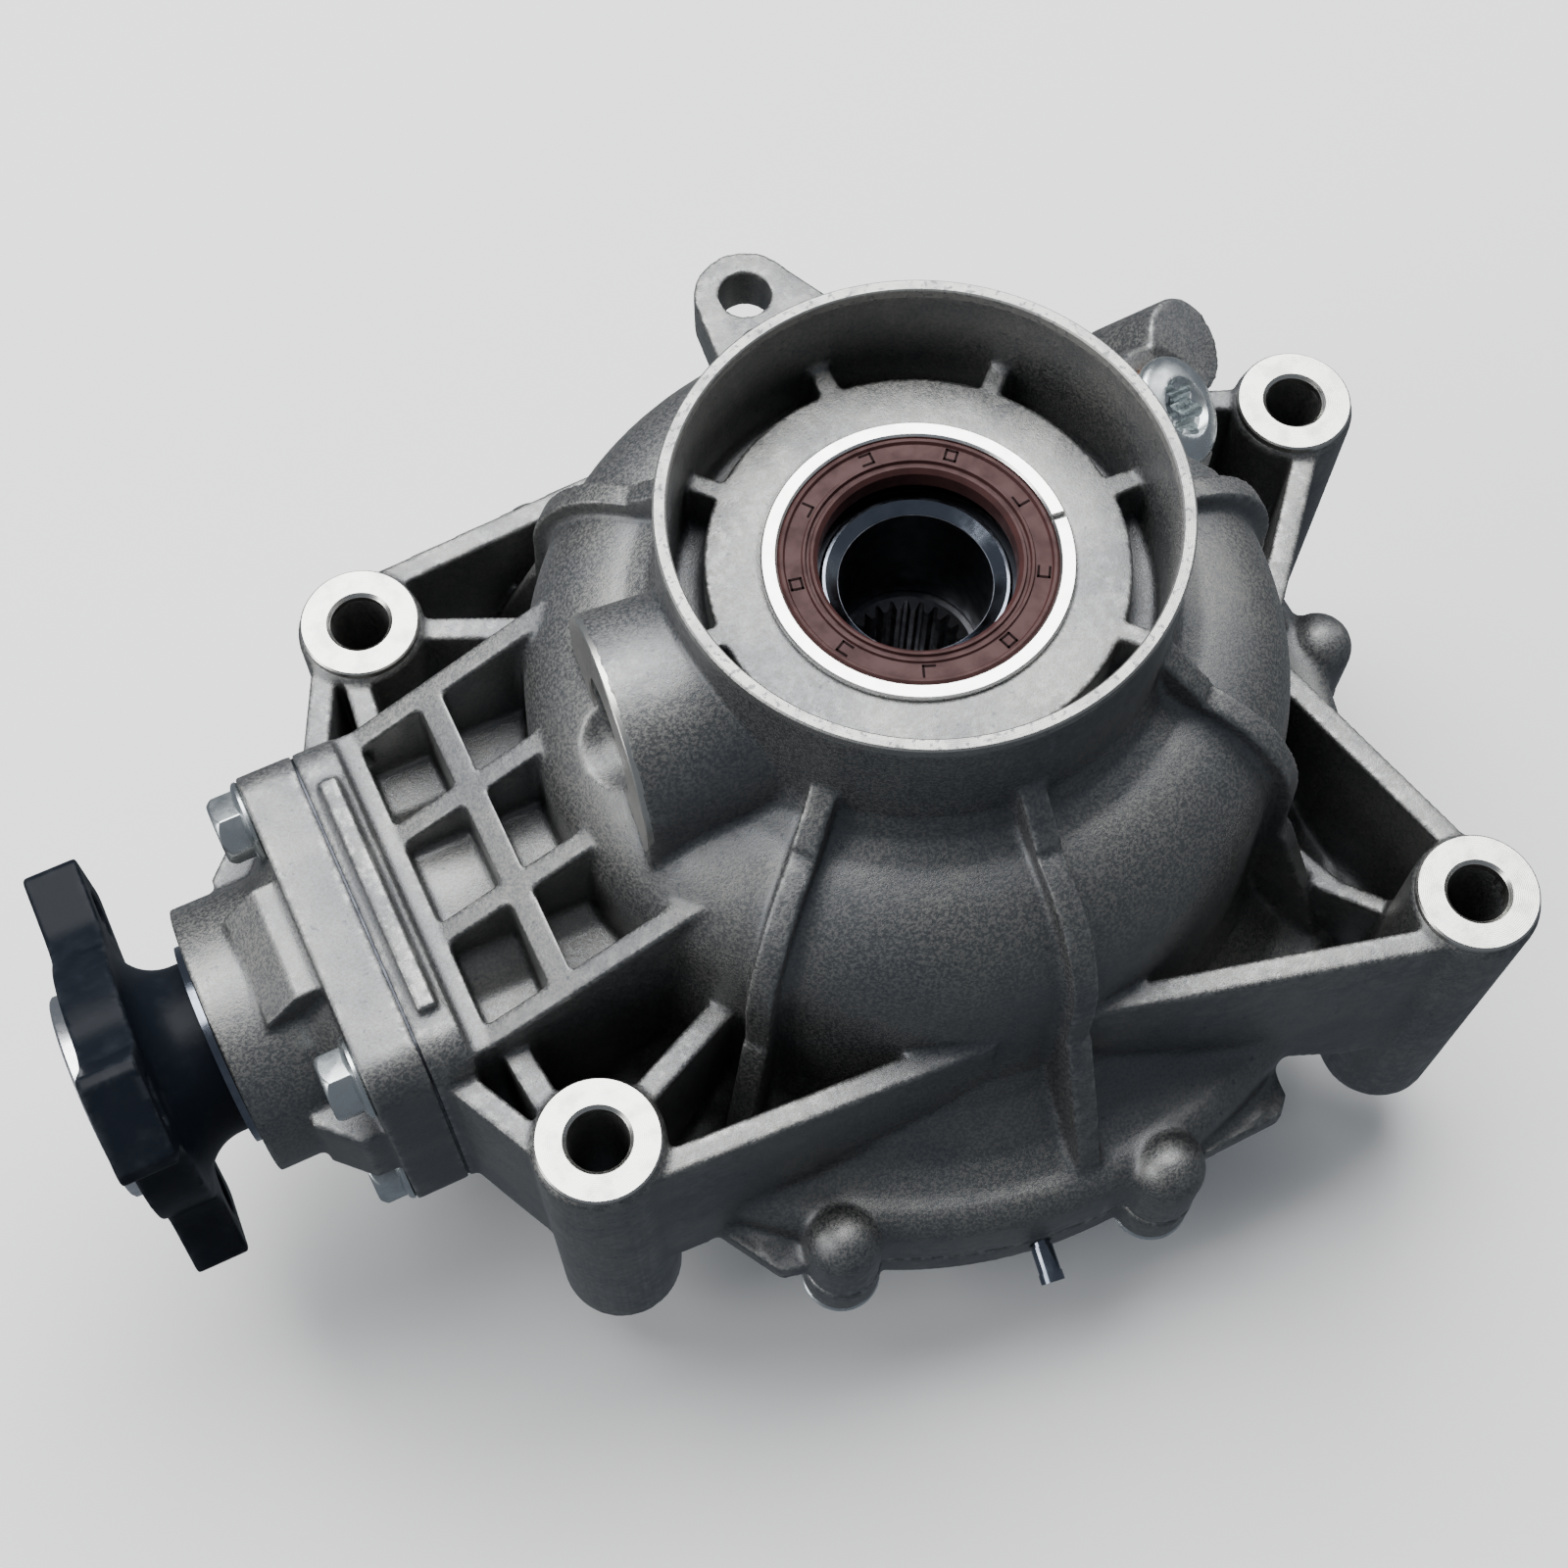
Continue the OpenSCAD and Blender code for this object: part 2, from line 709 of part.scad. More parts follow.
// Low web, a band of even thickness along a bent line
module bay_web() {
    near = [for (p = bay_web_line) p + [web_t / 2, 0]];
    back = [for (i = [len(near) - 1 : -1 : 0]) bay_web_line[i] - [web_t / 2, 0]];
    translate([0, 0, joint_h + 2]) linear_extrude(bay_web_h - joint_h - 2)
        polygon(concat(near, back));
}

// Flared rim with a bulge for each cover bolt, cut flat at the joint
module joint_rim() {
    difference() {
        union() {
            rotate_extrude() foot_section();
            cover_bolt_places() translate([0, 0, joint_h - 1]) {
                cylinder(r = bulge_r, h = bulge_h + 1);
                translate([0, 0, bulge_h + 1]) sphere(r = bulge_r);
            }
        }
        translate([0, 0, joint_h - 2]) cylinder(r = joint_r + 30, h = 2);
    }
}

// Outside of the casting with its oil space, before the machined bosses are added
module housing_shell() {
    difference() {
        union() {
            rotate_extrude() dome_section();
            joint_rim();
            rotate_extrude() collar_section();
            spokes();
            dome_ribs();
            port_body();
            fill_boss();
            for (a = lug_angles) joint_lug(a);
            nose_body();
            nose_strip();
            ear_plate();
            boss_webs();
            bay_web();
        }
        dome_cavity();
    }
}

// Bosses for mounting, for the upper axle bearing and for the inner pinion bearing
module housing_bosses() {
    boss_places() translate([0, 0, boss_bot_h]) {
        cylinder(r = boss_r, h = boss_len - boss_step);
        cylinder(r = boss_face_r, h = boss_len);
    }
    tube(brg_boss_r, axle_brg_od / 2 - 2, dome_h - upper_brg_bot, upper_brg_bot);
    tube(seal_ring_r, seal_back_r, 3, upper_face_h - 3);
    rotate([0, -90, 0])
        tube(pin_cup_r + 5, pin_cup_r - 2, frame_x - pin_brg_in_x + 1, pin_brg_in_x - 1);
}

module housing_bores() {
    boss_places() translate([0, 0, boss_bot_h - 1]) cylinder(d = boss_bore_d, h = boss_len + 2);
    translate([ear_x, ear_y, boss_top_h - ear_t - 1]) cylinder(d = ear_bore_d, h = ear_t + 2);
    // Upper axle bearing and seal
    translate([0, 0, upper_brg_bot - 10]) cylinder(r = axle_brg_od / 2, h = axle_brg_w + 10);
    cylinder(r = seal_back_r, h = upper_face_h + 1);
    translate([0, 0, upper_face_h - axle_seal_w])
        cylinder(r = axle_seal_od / 2, h = axle_seal_w + 1);
    // Pinion bores and the bolt holes of the nose flange
    rotate([0, -90, 0]) {
        translate([0, 0, dome_r / 2]) {
            cylinder(r = nose_relief_r, h = split_x);
            cylinder(r = pin_cup_r + 0.4, h = pin_brg_in_x - dome_r / 2 + eps);
        }
        translate([0, 0, pin_brg_in_x]) cylinder(r = pin_cup_r, h = pin_brg_w);
        translate([0, 0, split_x - spigot_len - 0.5])
            cylinder(r = spigot_r + slip_fit, h = spigot_len + 1);
        nose_bolt_places() translate([0, 0, frame_x - 6]) cylinder(d = bolt_d, h = nose_flange_t + 7);
    }
    // Blind holes up from the joint
    cover_bolt_places() translate([0, 0, joint_h - 1]) cylinder(d = bolt_d, h = bolt_hole_depth + 1);
    dowel_places() translate([0, 0, joint_h - 1]) cylinder(d = dowel_d, h = dowel_len / 2 + 2);
    at_fill() {
        translate([0, 0, -30]) cylinder(d = fill_thread_d, h = 31);
        cylinder(r = fill_head_r + 2, h = 30);
    }
    at_port() port_bore();
}

module main_housing() {
    color("lightslategray") up(0) difference() {
        union() {
            housing_shell();
            housing_bosses();
        }
        housing_bores();
    }
}

// The shell of the cover: joint flange, slope, floor, bearing boss and collar
module cover_section() {
    low = -lower_face_h;
    floor_low_h = cover_floor_h - cover_floor_t;
    translate([0, cover_low_h]) square([joint_r, cover_flange_t + 1]);
    polygon([[0, floor_low_h], [cover_floor_r, floor_low_h], [cover_shell_r - 4, cover_low_h - 4],
        [cover_shell_r, cover_low_h + 1], [cover_shell_r, cover_top_h - 1], [0, cover_top_h - 1]]);
    translate([0, low + 1]) square([brg_boss_r, lower_brg_top - low + 2]);
    translate([collar_r - collar_wall, -pinion_z])
        square([collar_wall, pinion_z + cover_floor_h - 1]);
    translate([0, low + 9]) square([collar_r - eps, cover_floor_h - low - 10]);
    polygon([[collar_r - 1, low + 10], [collar_r, low + 10],
        [collar_r + 4, floor_low_h + eps], [collar_r - 1, floor_low_h + eps]]);
}

// Oil space of the cover, with the room above the lower axle bearing
module cover_cavity_section() {
    polygon([[brg_boss_r, cover_floor_h], [cover_floor_r, cover_floor_h],
        [cover_shell_r - 6, cover_low_h], [land_r, cover_top_h - 3], [land_r, cover_top_h + 1],
        [0, cover_top_h + 1], [0, lower_brg_top + 3], [brg_boss_r, lower_brg_top + 3]]);
}

module side_cover() {
    low = -lower_face_h;
    color("silver") up(0) difference() {
        union() {
            rotate_extrude() cover_section();
            tube(seal_ring_r, seal_back_r, 3, low);
            for (i = [0 : spoke_count - 1]) rotate([0, 0, (i + 0.5) * 360 / spoke_count]) {
                translate([brg_boss_r - 4, -spoke_w / 2, low + 1])
                    cube([collar_r - collar_wall / 2 - brg_boss_r + 4, spoke_w, 14]);
                translate([0, dome_rib_t / 2, 0]) rotate([90, 0, 0]) linear_extrude(dome_rib_t)
                    polygon([[collar_r - 1, low + 12], [collar_r + 2, low + 8],
                        [land_r - 2, cover_low_h - 1], [land_r - 2, cover_top_h - 2],
                        [collar_r - 1, cover_top_h - 2]]);
            }
            cover_bolt_places() translate([0, 0, cover_seat_h])
                cylinder(r = bulge_r + 0.3, h = cover_flange_t + cover_pad_t + 1);
            at_drain() translate([0, 0, -4]) cylinder(r = drain_af * 0.85, h = drain_seat + 4);
        }
        translate([0, 0, cover_top_h]) cylinder(r = joint_r + 30, h = 2);
        rotate_extrude() cover_cavity_section();
        translate([0, 0, lower_brg_bot]) cylinder(r = axle_brg_od / 2, h = axle_brg_w + 30);
        translate([0, 0, low - 1]) {
            cylinder(r = seal_back_r, h = 60);
            cylinder(r = axle_seal_od / 2, h = axle_seal_w + 1);
        }
        translate([0, 0, -pinion_z]) {
            boss_places() cylinder(r = boss_r + cast_gap, h = 2 * pinion_z);
            cover_bolt_places() cylinder(d = bolt_d, h = pinion_z);
        }
        dowel_places() translate([0, 0, cover_top_h - dowel_len / 2]) cylinder(d = dowel_d, h = dowel_len);
        at_drain() translate([0, 0, -5]) cylinder(d = drain_thread_d, h = 30);
        at_vent() translate([0, 0, -20]) cylinder(d = vent_d - 1, h = 22);
    }
}

module cover_gasket() {
    color("dimgray") up(cover_top_h) difference() {
        union() {
            cylinder(r = joint_r - 0.3, h = gasket_t);
            cover_bolt_places() cylinder(r = bulge_r - 0.3, h = gasket_t);
        }
        translate([0, 0, -1]) cylinder(r = land_r, h = gasket_t + 2);
        cover_bolt_places() translate([0, 0, -1]) cylinder(d = bolt_d + 0.4, h = 3);
        dowel_places() translate([0, 0, -1]) cylinder(d = dowel_d + 0.4, h = 3);
        boss_places() translate([0, 0, -1]) cylinder(r = boss_r + cast_gap, h = 3);
    }
}

module cover_bolts() {
    color("gainsboro") up(cover_seat_h) cover_bolt_places() mirror([0, 0, 1])
        flange_bolt(cover_pad_t + cover_flange_t + bolt_hole_depth - 2);
}

module dowel_pins() {
    color("gray") up(cover_top_h + 0.5 - dowel_len / 2) dowel_places()
        cylinder(d = dowel_d - 2 * slip_fit, h = dowel_len);
}

module pinion_retainer() {
    color("lightslategray") on_pinion() difference() {
        union() {
            translate([0, 0, retainer_x]) linear_extrude(retainer_flange_t) nose_outline();
            translate([0, 0, split_x - spigot_len]) cylinder(r = spigot_r, h = spigot_len + 1);
            translate([0, 0, retainer_x]) cylinder(r = retainer_r, h = retainer_end_x - retainer_x);
            translate([0, 0, retainer_face_x - eps])
                cylinder(r1 = retainer_r + 5, r2 = retainer_r, h = 5);
            for (a = [0 : 90 : 270]) rotate([0, 0, a])
                translate([0, nose_bolt_y * 0.42, 0]) rotate([90, 0, 0])
                    linear_extrude(nose_bolt_y * 0.84)
                        polygon([[0, retainer_face_x - 1], [nose_half - 2, retainer_face_x - 1],
                            [nose_half - 2, retainer_face_x + 5], [retainer_r, retainer_face_x + 12],
                            [0, retainer_face_x + 12]]);
        }
        nose_bolt_places() translate([0, 0, retainer_x - 1])
            cylinder(d = bolt_d, h = retainer_flange_t + 2);
        nose_bolt_places() translate([0, 0, retainer_face_x])
            cylinder(r = bolt_flange_r + 1, h = 30);
        translate([0, 0, split_x - spigot_len - 1])
            cylinder(r = pin_cup_r, h = pin_seat_end_x - split_x + spigot_len + 1);
        cylinder(r = pin_cup_r - 3, h = retainer_end_x + 1);
        translate([0, 0, pin_seal_x]) cylinder(r = pin_cup_r, h = 20);
        translate([0, 0, split_x - 4]) tube(spigot_r + 1, spigot_r - 1.8, 2.6);
    }
}

module retainer_o_ring() {
    color("black") on_pinion() translate([0, 0, split_x - 2.7])
        rotate_extrude() translate([spigot_r - 0.85, 0]) circle(r = 0.92, $fn = small_fn);
}

module retainer_shim() {
    color("gray") on_pinion() translate([0, 0, split_x]) difference() {
        linear_extrude(shim_t) nose_outline(-0.6);
        translate([0, 0, -1]) cylinder(r = spigot_r + 0.5, h = 3);
        nose_bolt_places() translate([0, 0, -1]) cylinder(d = bolt_d + 0.4, h = 3);
    }
}

module retainer_bolts() {
    color("gainsboro") on_pinion() translate([0, 0, retainer_face_x])
        nose_bolt_places() flange_bolt(retainer_flange_t + nose_flange_t + 3);
}

// Lip seal with its face at the top and its lip pointing down
module lip_seal(od, id, w) {
    out = od / 2;
    in = id / 2;
    s = out - in;
    skin = s * 0.22;
    back = w * 0.2;
    rotate_extrude() polygon([[in + s * 0.45, -0.4], [in + s * 0.55, -0.9],
        [out - s * 0.35, -0.9], [out - s * 0.25, 0], [out, -0.3], [out, -w],
        [in + s * 0.53, -w], [in + s * 0.53, back - w], [out - skin, back - w],
        [out - skin, -w * 0.4], [in + s * 0.45, -w * 0.4], [in + s * 0.27, -w * 0.78],
        [in + s * 0.13, -w * 0.73], [in, -w * 0.64], [in + s * 0.2, -w * 0.35],
        [in + s * 0.05, -w * 0.1], [in + s * 0.13, -0.2]]);
}

module upper_axle_seal() {
    color("saddlebrown") up(upper_face_h) lip_seal(axle_seal_od, axle_seal_id, axle_seal_w);
}

module lower_axle_seal() {
    color("saddlebrown") up(-lower_face_h) mirror([0, 0, 1])
        lip_seal(axle_seal_od, axle_seal_id, axle_seal_w);
}

module pinion_seal() {
    color("black") on_pinion() translate([0, 0, pin_seal_x + pin_seal_w])
        lip_seal(pin_brg_od, 2 * (input_hub_r + run_fit), pin_seal_w);
}

module fill_plug() {
    dome_sphere_r = 17;
    head_h = 2;
    color("gainsboro") up(0) at_fill() translate([0, 0, plug_washer_t]) {
        difference() {
            union() {
                cylinder(r = fill_head_r, h = head_h);
                translate([0, 0, head_h]) intersection() {
                    translate([0, 0, 4.5 - dome_sphere_r]) sphere(r = dome_sphere_r);
                    cylinder(r = fill_head_r - 0.4, h = 8);
                }
            }
            translate([0, 0, 0.5]) {
                cylinder(r = fill_socket_r - 1.2, h = 9);
                for (i = [0 : 2]) rotate([0, 0, i * 60])
                    translate([-fill_socket_r, -1.4, 0]) cube([2 * fill_socket_r, 2.8, 9]);
            }
        }
        translate([0, 0, -fill_thread_len - plug_washer_t])
            cylinder(d = fill_thread_d - 2 * slip_fit, h = fill_thread_len + plug_washer_t + eps);
    }
}

module fill_plug_washer() {
    color("peru") up(0) at_fill()
        tube(fill_head_r - 0.8, fill_thread_d / 2 + 0.2, plug_washer_t);
}

module drain_plug() {
    color("gainsboro") up(0) at_drain() translate([0, 0, drain_seat + plug_washer_t]) {
        cylinder(r = drain_af / 2 + 1.8, h = 1.6);
        hex(drain_af, drain_head_h);
        translate([0, 0, -drain_seat - plug_washer_t])
            cylinder(d = drain_thread_d - 2 * slip_fit, h = drain_seat + plug_washer_t + eps);
    }
}

module drain_plug_washer() {
    color("peru") up(0) at_drain() translate([0, 0, drain_seat])
        tube(drain_af / 2 + 1.8, drain_thread_d / 2 + 0.2, plug_washer_t);
}

module vent_nipple() {
    color("gainsboro") up(0) at_vent() difference() {
        union() {
            translate([0, 0, -vent_root])
                cylinder(d = vent_d - 1 - slip_fit, h = vent_root + vent_len);
            translate([0, 0, 0.5]) cylinder(d = vent_d - 0.4, h = vent_len - 2.5);
            translate([0, 0, vent_len - 2]) cylinder(d = vent_d, h = 2);
        }
        translate([0, 0, -vent_root - 1])
            cylinder(d = vent_bore_d, h = vent_root + vent_len + 2, $fn = small_fn);
    }
}

module port_cup_plug() {
    color("silver") up(0) at_port() translate([0, 0, -port_depth]) difference() {
        cylinder(r = cup_r, h = cup_h);
        translate([0, 0, cup_wall]) cylinder(r = cup_r - cup_wall, h = cup_h);
    }
}

// Axle ball bearing, drawn up from its lower face
module ball_groove() {
    rotate_extrude() translate([brg_pitch_r, axle_brg_w / 2]) circle(r = ball_groove_r);
}

module ball_outer_ring() {
    difference() {
        tube(axle_brg_od / 2, brg_pitch_r + race_gap, axle_brg_w);
        ball_groove();
    }
}

module ball_inner_ring() {
    difference() {
        tube(brg_pitch_r - race_gap, axle_brg_id / 2, axle_brg_w);
        ball_groove();
    }
}

module ball_set() {
    for (i = [0 : axle_ball_count - 1]) rotate([0, 0, i * 360 / axle_ball_count])
        translate([brg_pitch_r, 0, axle_brg_w / 2]) sphere(d = axle_ball_d);
    tube(brg_pitch_r + cage_t / 2, brg_pitch_r - cage_t / 2, axle_ball_d * 0.8,
        axle_brg_w / 2 - axle_ball_d * 0.4);
}

module upper_bearing_outer_ring() {
    color("silver") up(upper_brg_bot) ball_outer_ring();
}

module lower_bearing_outer_ring() {
    color("silver") up(lower_brg_bot) ball_outer_ring();
}

module upper_bearing_inner_ring() {
    color("silver") up(upper_brg_bot) ball_inner_ring();
}

module lower_bearing_inner_ring() {
    color("silver") up(lower_brg_bot) ball_inner_ring();
}

module upper_bearing_balls() {
    color("gainsboro") up(upper_brg_bot) ball_set();
}

module lower_bearing_balls() {
    color("gainsboro") up(lower_brg_bot) ball_set();
}

// Radius of a cone that leaves the bearing's apex at angle a, at height h in the bearing
function cone_r(a, h) = (roller_apex - pin_brg_w / 2 + h) * tan(a);

// Tapered bearing, drawn up from its narrow face
module taper_cup() {
    a = roller_tilt + roller_half;
    rotate_extrude() polygon([[pin_cup_r, 0], [pin_cup_r, pin_brg_w],
        [cone_r(a, pin_brg_w) + roller_play, pin_brg_w], [cone_r(a, 0) + roller_play, 0]]);
}

module taper_cone() {
    a = roller_tilt - roller_half;
    lip = 1.6;
    h1 = (pin_brg_w - roller_len * cos(roller_tilt)) / 2 - 0.7;
    h2 = pin_brg_w - h1;
    rotate_extrude() polygon([[pin_cone_r, 0], [cone_r(a, 0) + lip / 2, 0],
        [cone_r(a, h1) + lip / 2, h1], [cone_r(a, h1) - roller_play, h1],
        [cone_r(a, h2) - roller_play, h2],
        [cone_r(a, h2) + lip, h2], [cone_r(a, pin_brg_w) + lip, pin_brg_w],
        [pin_cone_r, pin_brg_w]]);
}

module taper_rollers() {
    mid = roller_mid_r / sin(roller_tilt);
    near = mid - roller_len / 2;
    for (i = [0 : pin_roller_count - 1]) rotate([0, 0, i * 360 / pin_roller_count])
        translate([0, 0, pin_brg_w / 2 - roller_apex]) rotate([0, roller_tilt, 0])
            translate([0, 0, near]) cylinder(r1 = near * tan(roller_half),
                r2 = (near + roller_len) * tan(roller_half), h = roller_len);
    cage_h = roller_len * 0.7;
    z0 = (pin_brg_w - cage_h) / 2;
    rotate_extrude() polygon([[cone_r(roller_tilt, z0) - 0.5, z0],
        [cone_r(roller_tilt, z0) + 0.5, z0],
        [cone_r(roller_tilt, z0 + cage_h) + 0.5, z0 + cage_h],
        [cone_r(roller_tilt, z0 + cage_h) - 0.5, z0 + cage_h]]);
}

// The inner bearing opens to the gear and the outer one to the flange
module at_inner_bearing() {
    on_pinion() translate([0, 0, pin_brg_in_x + pin_brg_w]) mirror([0, 0, 1]) children();
}

module at_outer_bearing() {
    on_pinion() translate([0, 0, pin_brg_out_x]) children();
}

module inner_pinion_cup() {
    color("silver") at_inner_bearing() taper_cup();
}

module outer_pinion_cup() {
    color("silver") at_outer_bearing() taper_cup();
}

module inner_pinion_cone() {
    color("silver") at_inner_bearing() taper_cone();
}

module outer_pinion_cone() {
    color("silver") at_outer_bearing() taper_cone();
}

module inner_pinion_rollers() {
    color("gainsboro") at_inner_bearing() taper_rollers();
}

module outer_pinion_rollers() {
    color("gainsboro") at_outer_bearing() taper_rollers();
}

module pinion_spacer() {
    start = pin_brg_in_x + pin_brg_w;
    color("gray") on_pinion() tube(pin_cone_r + 2.2, pin_cone_r, pin_brg_out_x - start, start);
}

// Involute flank of a tooth, as [across, up] points from root to tip
function inv_angle(r, rb) = r <= rb ? 0 : sqrt(pow(r / rb, 2) - 1) * 180 / PI - acos(rb / r);
function flank(rv, m, add, ded, half) =
    let (rb = rv * cos(pressure), base = half + inv_angle(rv, rb),
        r1 = rv - ded * m, r2 = rv + add * m)
    [for (i = [0 : flank_steps]) let (r = r1 + (r2 - r1) * i / flank_steps,
        a = base - inv_angle(r, rb)) [r * sin(a), r * cos(a) - rv]];

// Points of a whole tooth across its pitch line, with its foot sunk in the gear body
function tooth(rv, m, add, ded, half, sink) =
    let (f = flank(rv, m, add, ded, half), n = len(f), foot = f[0])
    concat([[foot[0], foot[1] - sink]], f,
        [for (i = [n - 1 : -1 : 0]) [-f[i][0], f[i][1]]], [[-foot[0], foot[1] - sink]]);

// Bevel gear teeth round Z, with the cones meeting at the origin and the gear below it
module bevel_teeth(count, pitch_r, angle, m, add, ded, width, shift, play) {
    len_out = pitch_r / sin(angle);
    rv = pitch_r / cos(angle);
    half = (PI * m / 2 + 2 * shift * m * tan(pressure) - play) / 2 / rv * 180 / PI;
    ratio = (len_out - width) / len_out;
    pts = tooth(rv, m, add, ded, half, 0.25 * m);
    for (i = [0 : count - 1]) rotate([0, 0, i * 360 / count])
        translate([pitch_r, 0, -len_out * cos(angle)])
            rotate([0, -angle, 0]) rotate([0, 0, 90])
                linear_extrude(width, scale = ratio) scale([1, -1]) polygon(pts);
}

// Radius and height of a point on the gear, s along the cone and up above it
function on_cone(angle, s, above) = [s * sin(angle) + above * cos(angle),
    -s * cos(angle) + above * sin(angle)];

module ring_gear() {
    len_out = ring_pitch_r / sin(ring_angle);
    ded = ring_ded * drive_module;
    ratio = (len_out - face_w) / len_out;
    p_out = on_cone(ring_angle, len_out, -ded);
    p_in = on_cone(ring_angle, len_out - face_w, -ded * ratio);
    color("dimgray") up(0) {
        bevel_teeth(ring_teeth, ring_pitch_r, ring_angle, drive_module, ring_add, ring_ded,
            face_w, -pinion_shift, backlash);
        difference() {
            rotate_extrude() polygon([[case_r + slip_fit, ring_back_h], [p_out[0] - 1, ring_back_h],
                [p_out[0] + 1.2, ring_back_h + 2.5], p_out + [0.4, -0.4], p_out, p_in,
                [case_r + slip_fit, p_in[1] - 1]]);
            ring_bolt_places() translate([0, 0, ring_back_h - 1])
                cylinder(d = bolt_d, h = ring_bolt_grip + 2);
        }
    }
}

module ring_bolt_places() {
    around(ring_bolt_r, [for (i = [0 : ring_bolt_count - 1]) (i + 0.5) * 360 / ring_bolt_count])
        children();
}

module pinion_gear() {
    angle = 90 - ring_angle;
    len_out = pinion_pitch_r / sin(angle);
    ded = pinion_ded * drive_module;
    ratio = (len_out - face_w) / len_out;
    p_out = on_cone(angle, len_out, -ded);
    p_in = on_cone(angle, len_out - face_w, -ded * ratio);
    color("dimgray") translate([0, 0, pinion_z]) rotate([0, 90, 0]) {
        bevel_teeth(pinion_teeth, pinion_pitch_r, angle, drive_module, pinion_add, pinion_ded,
            face_w, pinion_shift, backlash);
        rotate_extrude() polygon([[0, p_in[1]], p_in, p_out, [p_out[0] + 1, p_out[1] - 0.6],
            [pin_cone_r + 3, -pin_brg_in_x + 1.5], [pin_cone_r + 3, -pin_brg_in_x],
            [pin_cone_r, -pin_brg_in_x], [pin_cone_r, -spline_x], [shaft_r, -spline_x - 0.5],
            [shaft_r, -nut_seat_x + 2], [shaft_tail_r, -nut_seat_x + 1],
            [shaft_tail_r, -shaft_end_x + 1], [shaft_tail_r - 1, -shaft_end_x],
            [0, -shaft_end_x]]);
    }
}

module input_arm() {
    half = input_arm_w / 2;
    translate([0, 0, input_back_x]) linear_extrude(input_t)
        polygon([[0, -half * 1.24], [input_tip_r * 0.62, -half], [input_tip_r - 1.5, -half],
            [input_tip_r, 2 - half], [input_tip_r, half - 2], [input_tip_r - 1.5, half],
            [input_tip_r * 0.62, half], [0, half * 1.24]]);
}

module input_flange() {
    hub_fillet = 9;
    recess_r = pilot_r - 4.5;
    arm_angles = [for (i = [0 : input_arms - 1]) 90 + i * 360 / input_arms];
    color("#1c1f24") on_pinion() difference() {
        union() {
            for (a = arm_angles) rotate([0, 0, a]) input_arm();
            translate([0, 0, input_back_x]) {
                cylinder(r = pilot_r + 1.5, h = input_t);
                cylinder(r = pilot_r, h = input_t + pilot_h);
            }
            translate([0, 0, pin_seat_end_x])
                cylinder(r = input_hub_r, h = input_back_x - pin_seat_end_x + 1);
            rotate_extrude() difference() {
                translate([0, input_back_x - hub_fillet])
                    square([input_hub_r + hub_fillet, hub_fillet + 1]);
                translate([input_hub_r + hub_fillet, input_back_x - hub_fillet])
                    circle(r = hub_fillet);
            }
        }
        translate([0, 0, nut_seat_x]) cylinder(r = recess_r, h = 30);
        cylinder(r = shaft_r + slip_fit, h = far);
        translate([0, 0, input_back_x - 5])
            around(input_bolt_r, arm_angles) cylinder(d = input_hole_d, h = input_t + 10);
    }
}

module flange_dust_ring() {
    color("silver") on_pinion()
        tube(input_hub_r + 3, input_hub_r, 1.4, retainer_end_x + 0.5);
}

module flange_washer() {
    color("silver") on_pinion()
        tube(nut_af / 2 + 1, shaft_tail_r + slip_fit, nut_washer_t, nut_seat_x);
}

module flange_nut() {
    color("gainsboro") on_pinion() translate([0, 0, nut_seat_x + nut_washer_t])
        difference() {
            hex(nut_af, nut_h);
            translate([0, 0, -1]) cylinder(r = shaft_tail_r + slip_fit, h = nut_h + 2);
        }
}

// The case: body, flange and two journals, open at two windows
module case_section() {
    journal_low = lower_brg_bot - 1;
    journal_top = upper_brg_top + 1;
    polygon([[0, journal_low], [journal_r - 1, journal_low], [journal_r, journal_low + 1],
        [journal_r, lower_brg_top], [shoulder_r, lower_brg_top], [shoulder_r, flange_low_h - 5],
        [case_r - 2, flange_low_h], [case_flange_r, flange_low_h], [case_flange_r, ring_back_h],
        [case_r, ring_back_h], [case_r, 12], [case_r - 9, case_cap_h],
        [shoulder_r, case_cap_h + 4], [shoulder_r, upper_brg_bot], [journal_r, upper_brg_bot],
        [journal_r, journal_top - 1], [journal_r - 1, journal_top], [0, journal_top]]);
}

// Room for the side gears, with a round room across it for the spiders
module case_room() {
    seat_h = side_back_h + thrust_t;
    rotate_extrude() polygon([[0, -seat_h], [cavity_r, -seat_h],
        [spider_room, -spider_pitch_r - 3], [spider_room, spider_pitch_r + 3],
        [cavity_r, seat_h], [0, seat_h]]);
    rotate([90, 0, 0]) cylinder(r = spider_tip_r + 0.6, h = 2 * spider_room, center = true);
}

module differential_case() {
    window = 2 * spider_pitch_r + 4;
    color("slategray") up(0) difference() {
        rotate_extrude() case_section();
        case_room();
        translate([0, 0, -hub_end_h - 0.5]) cylinder(r = hub_r + run_fit, h = 2 * hub_end_h + 1);
        cylinder(r = journal_bore_r, h = far, center = true);
        cube([far, window, window], center = true);
        rotate([90, 0, 0]) cylinder(d = cross_pin_d + 2 * run_fit, h = far, center = true);
        ring_bolt_places() translate([0, 0, flange_low_h - 1])
            cylinder(d = bolt_d + 2 * slip_fit, h = case_flange_t + 2);
        lock_place() cylinder(d = lock_d, h = 60, center = true);
    }
}

module ring_gear_bolts() {
    color("darkslategray") up(flange_low_h) ring_bolt_places() mirror([0, 0, 1]) {
        hex(ring_bolt_af, ring_bolt_head_h);
        translate([0, 0, -case_flange_t - ring_bolt_grip])
            cylinder(d = bolt_d - 2 * slip_fit, h = case_flange_t + ring_bolt_grip + eps);
    }
}

module lock_place() {
    translate([0, case_r - 5, 0]) children();
}

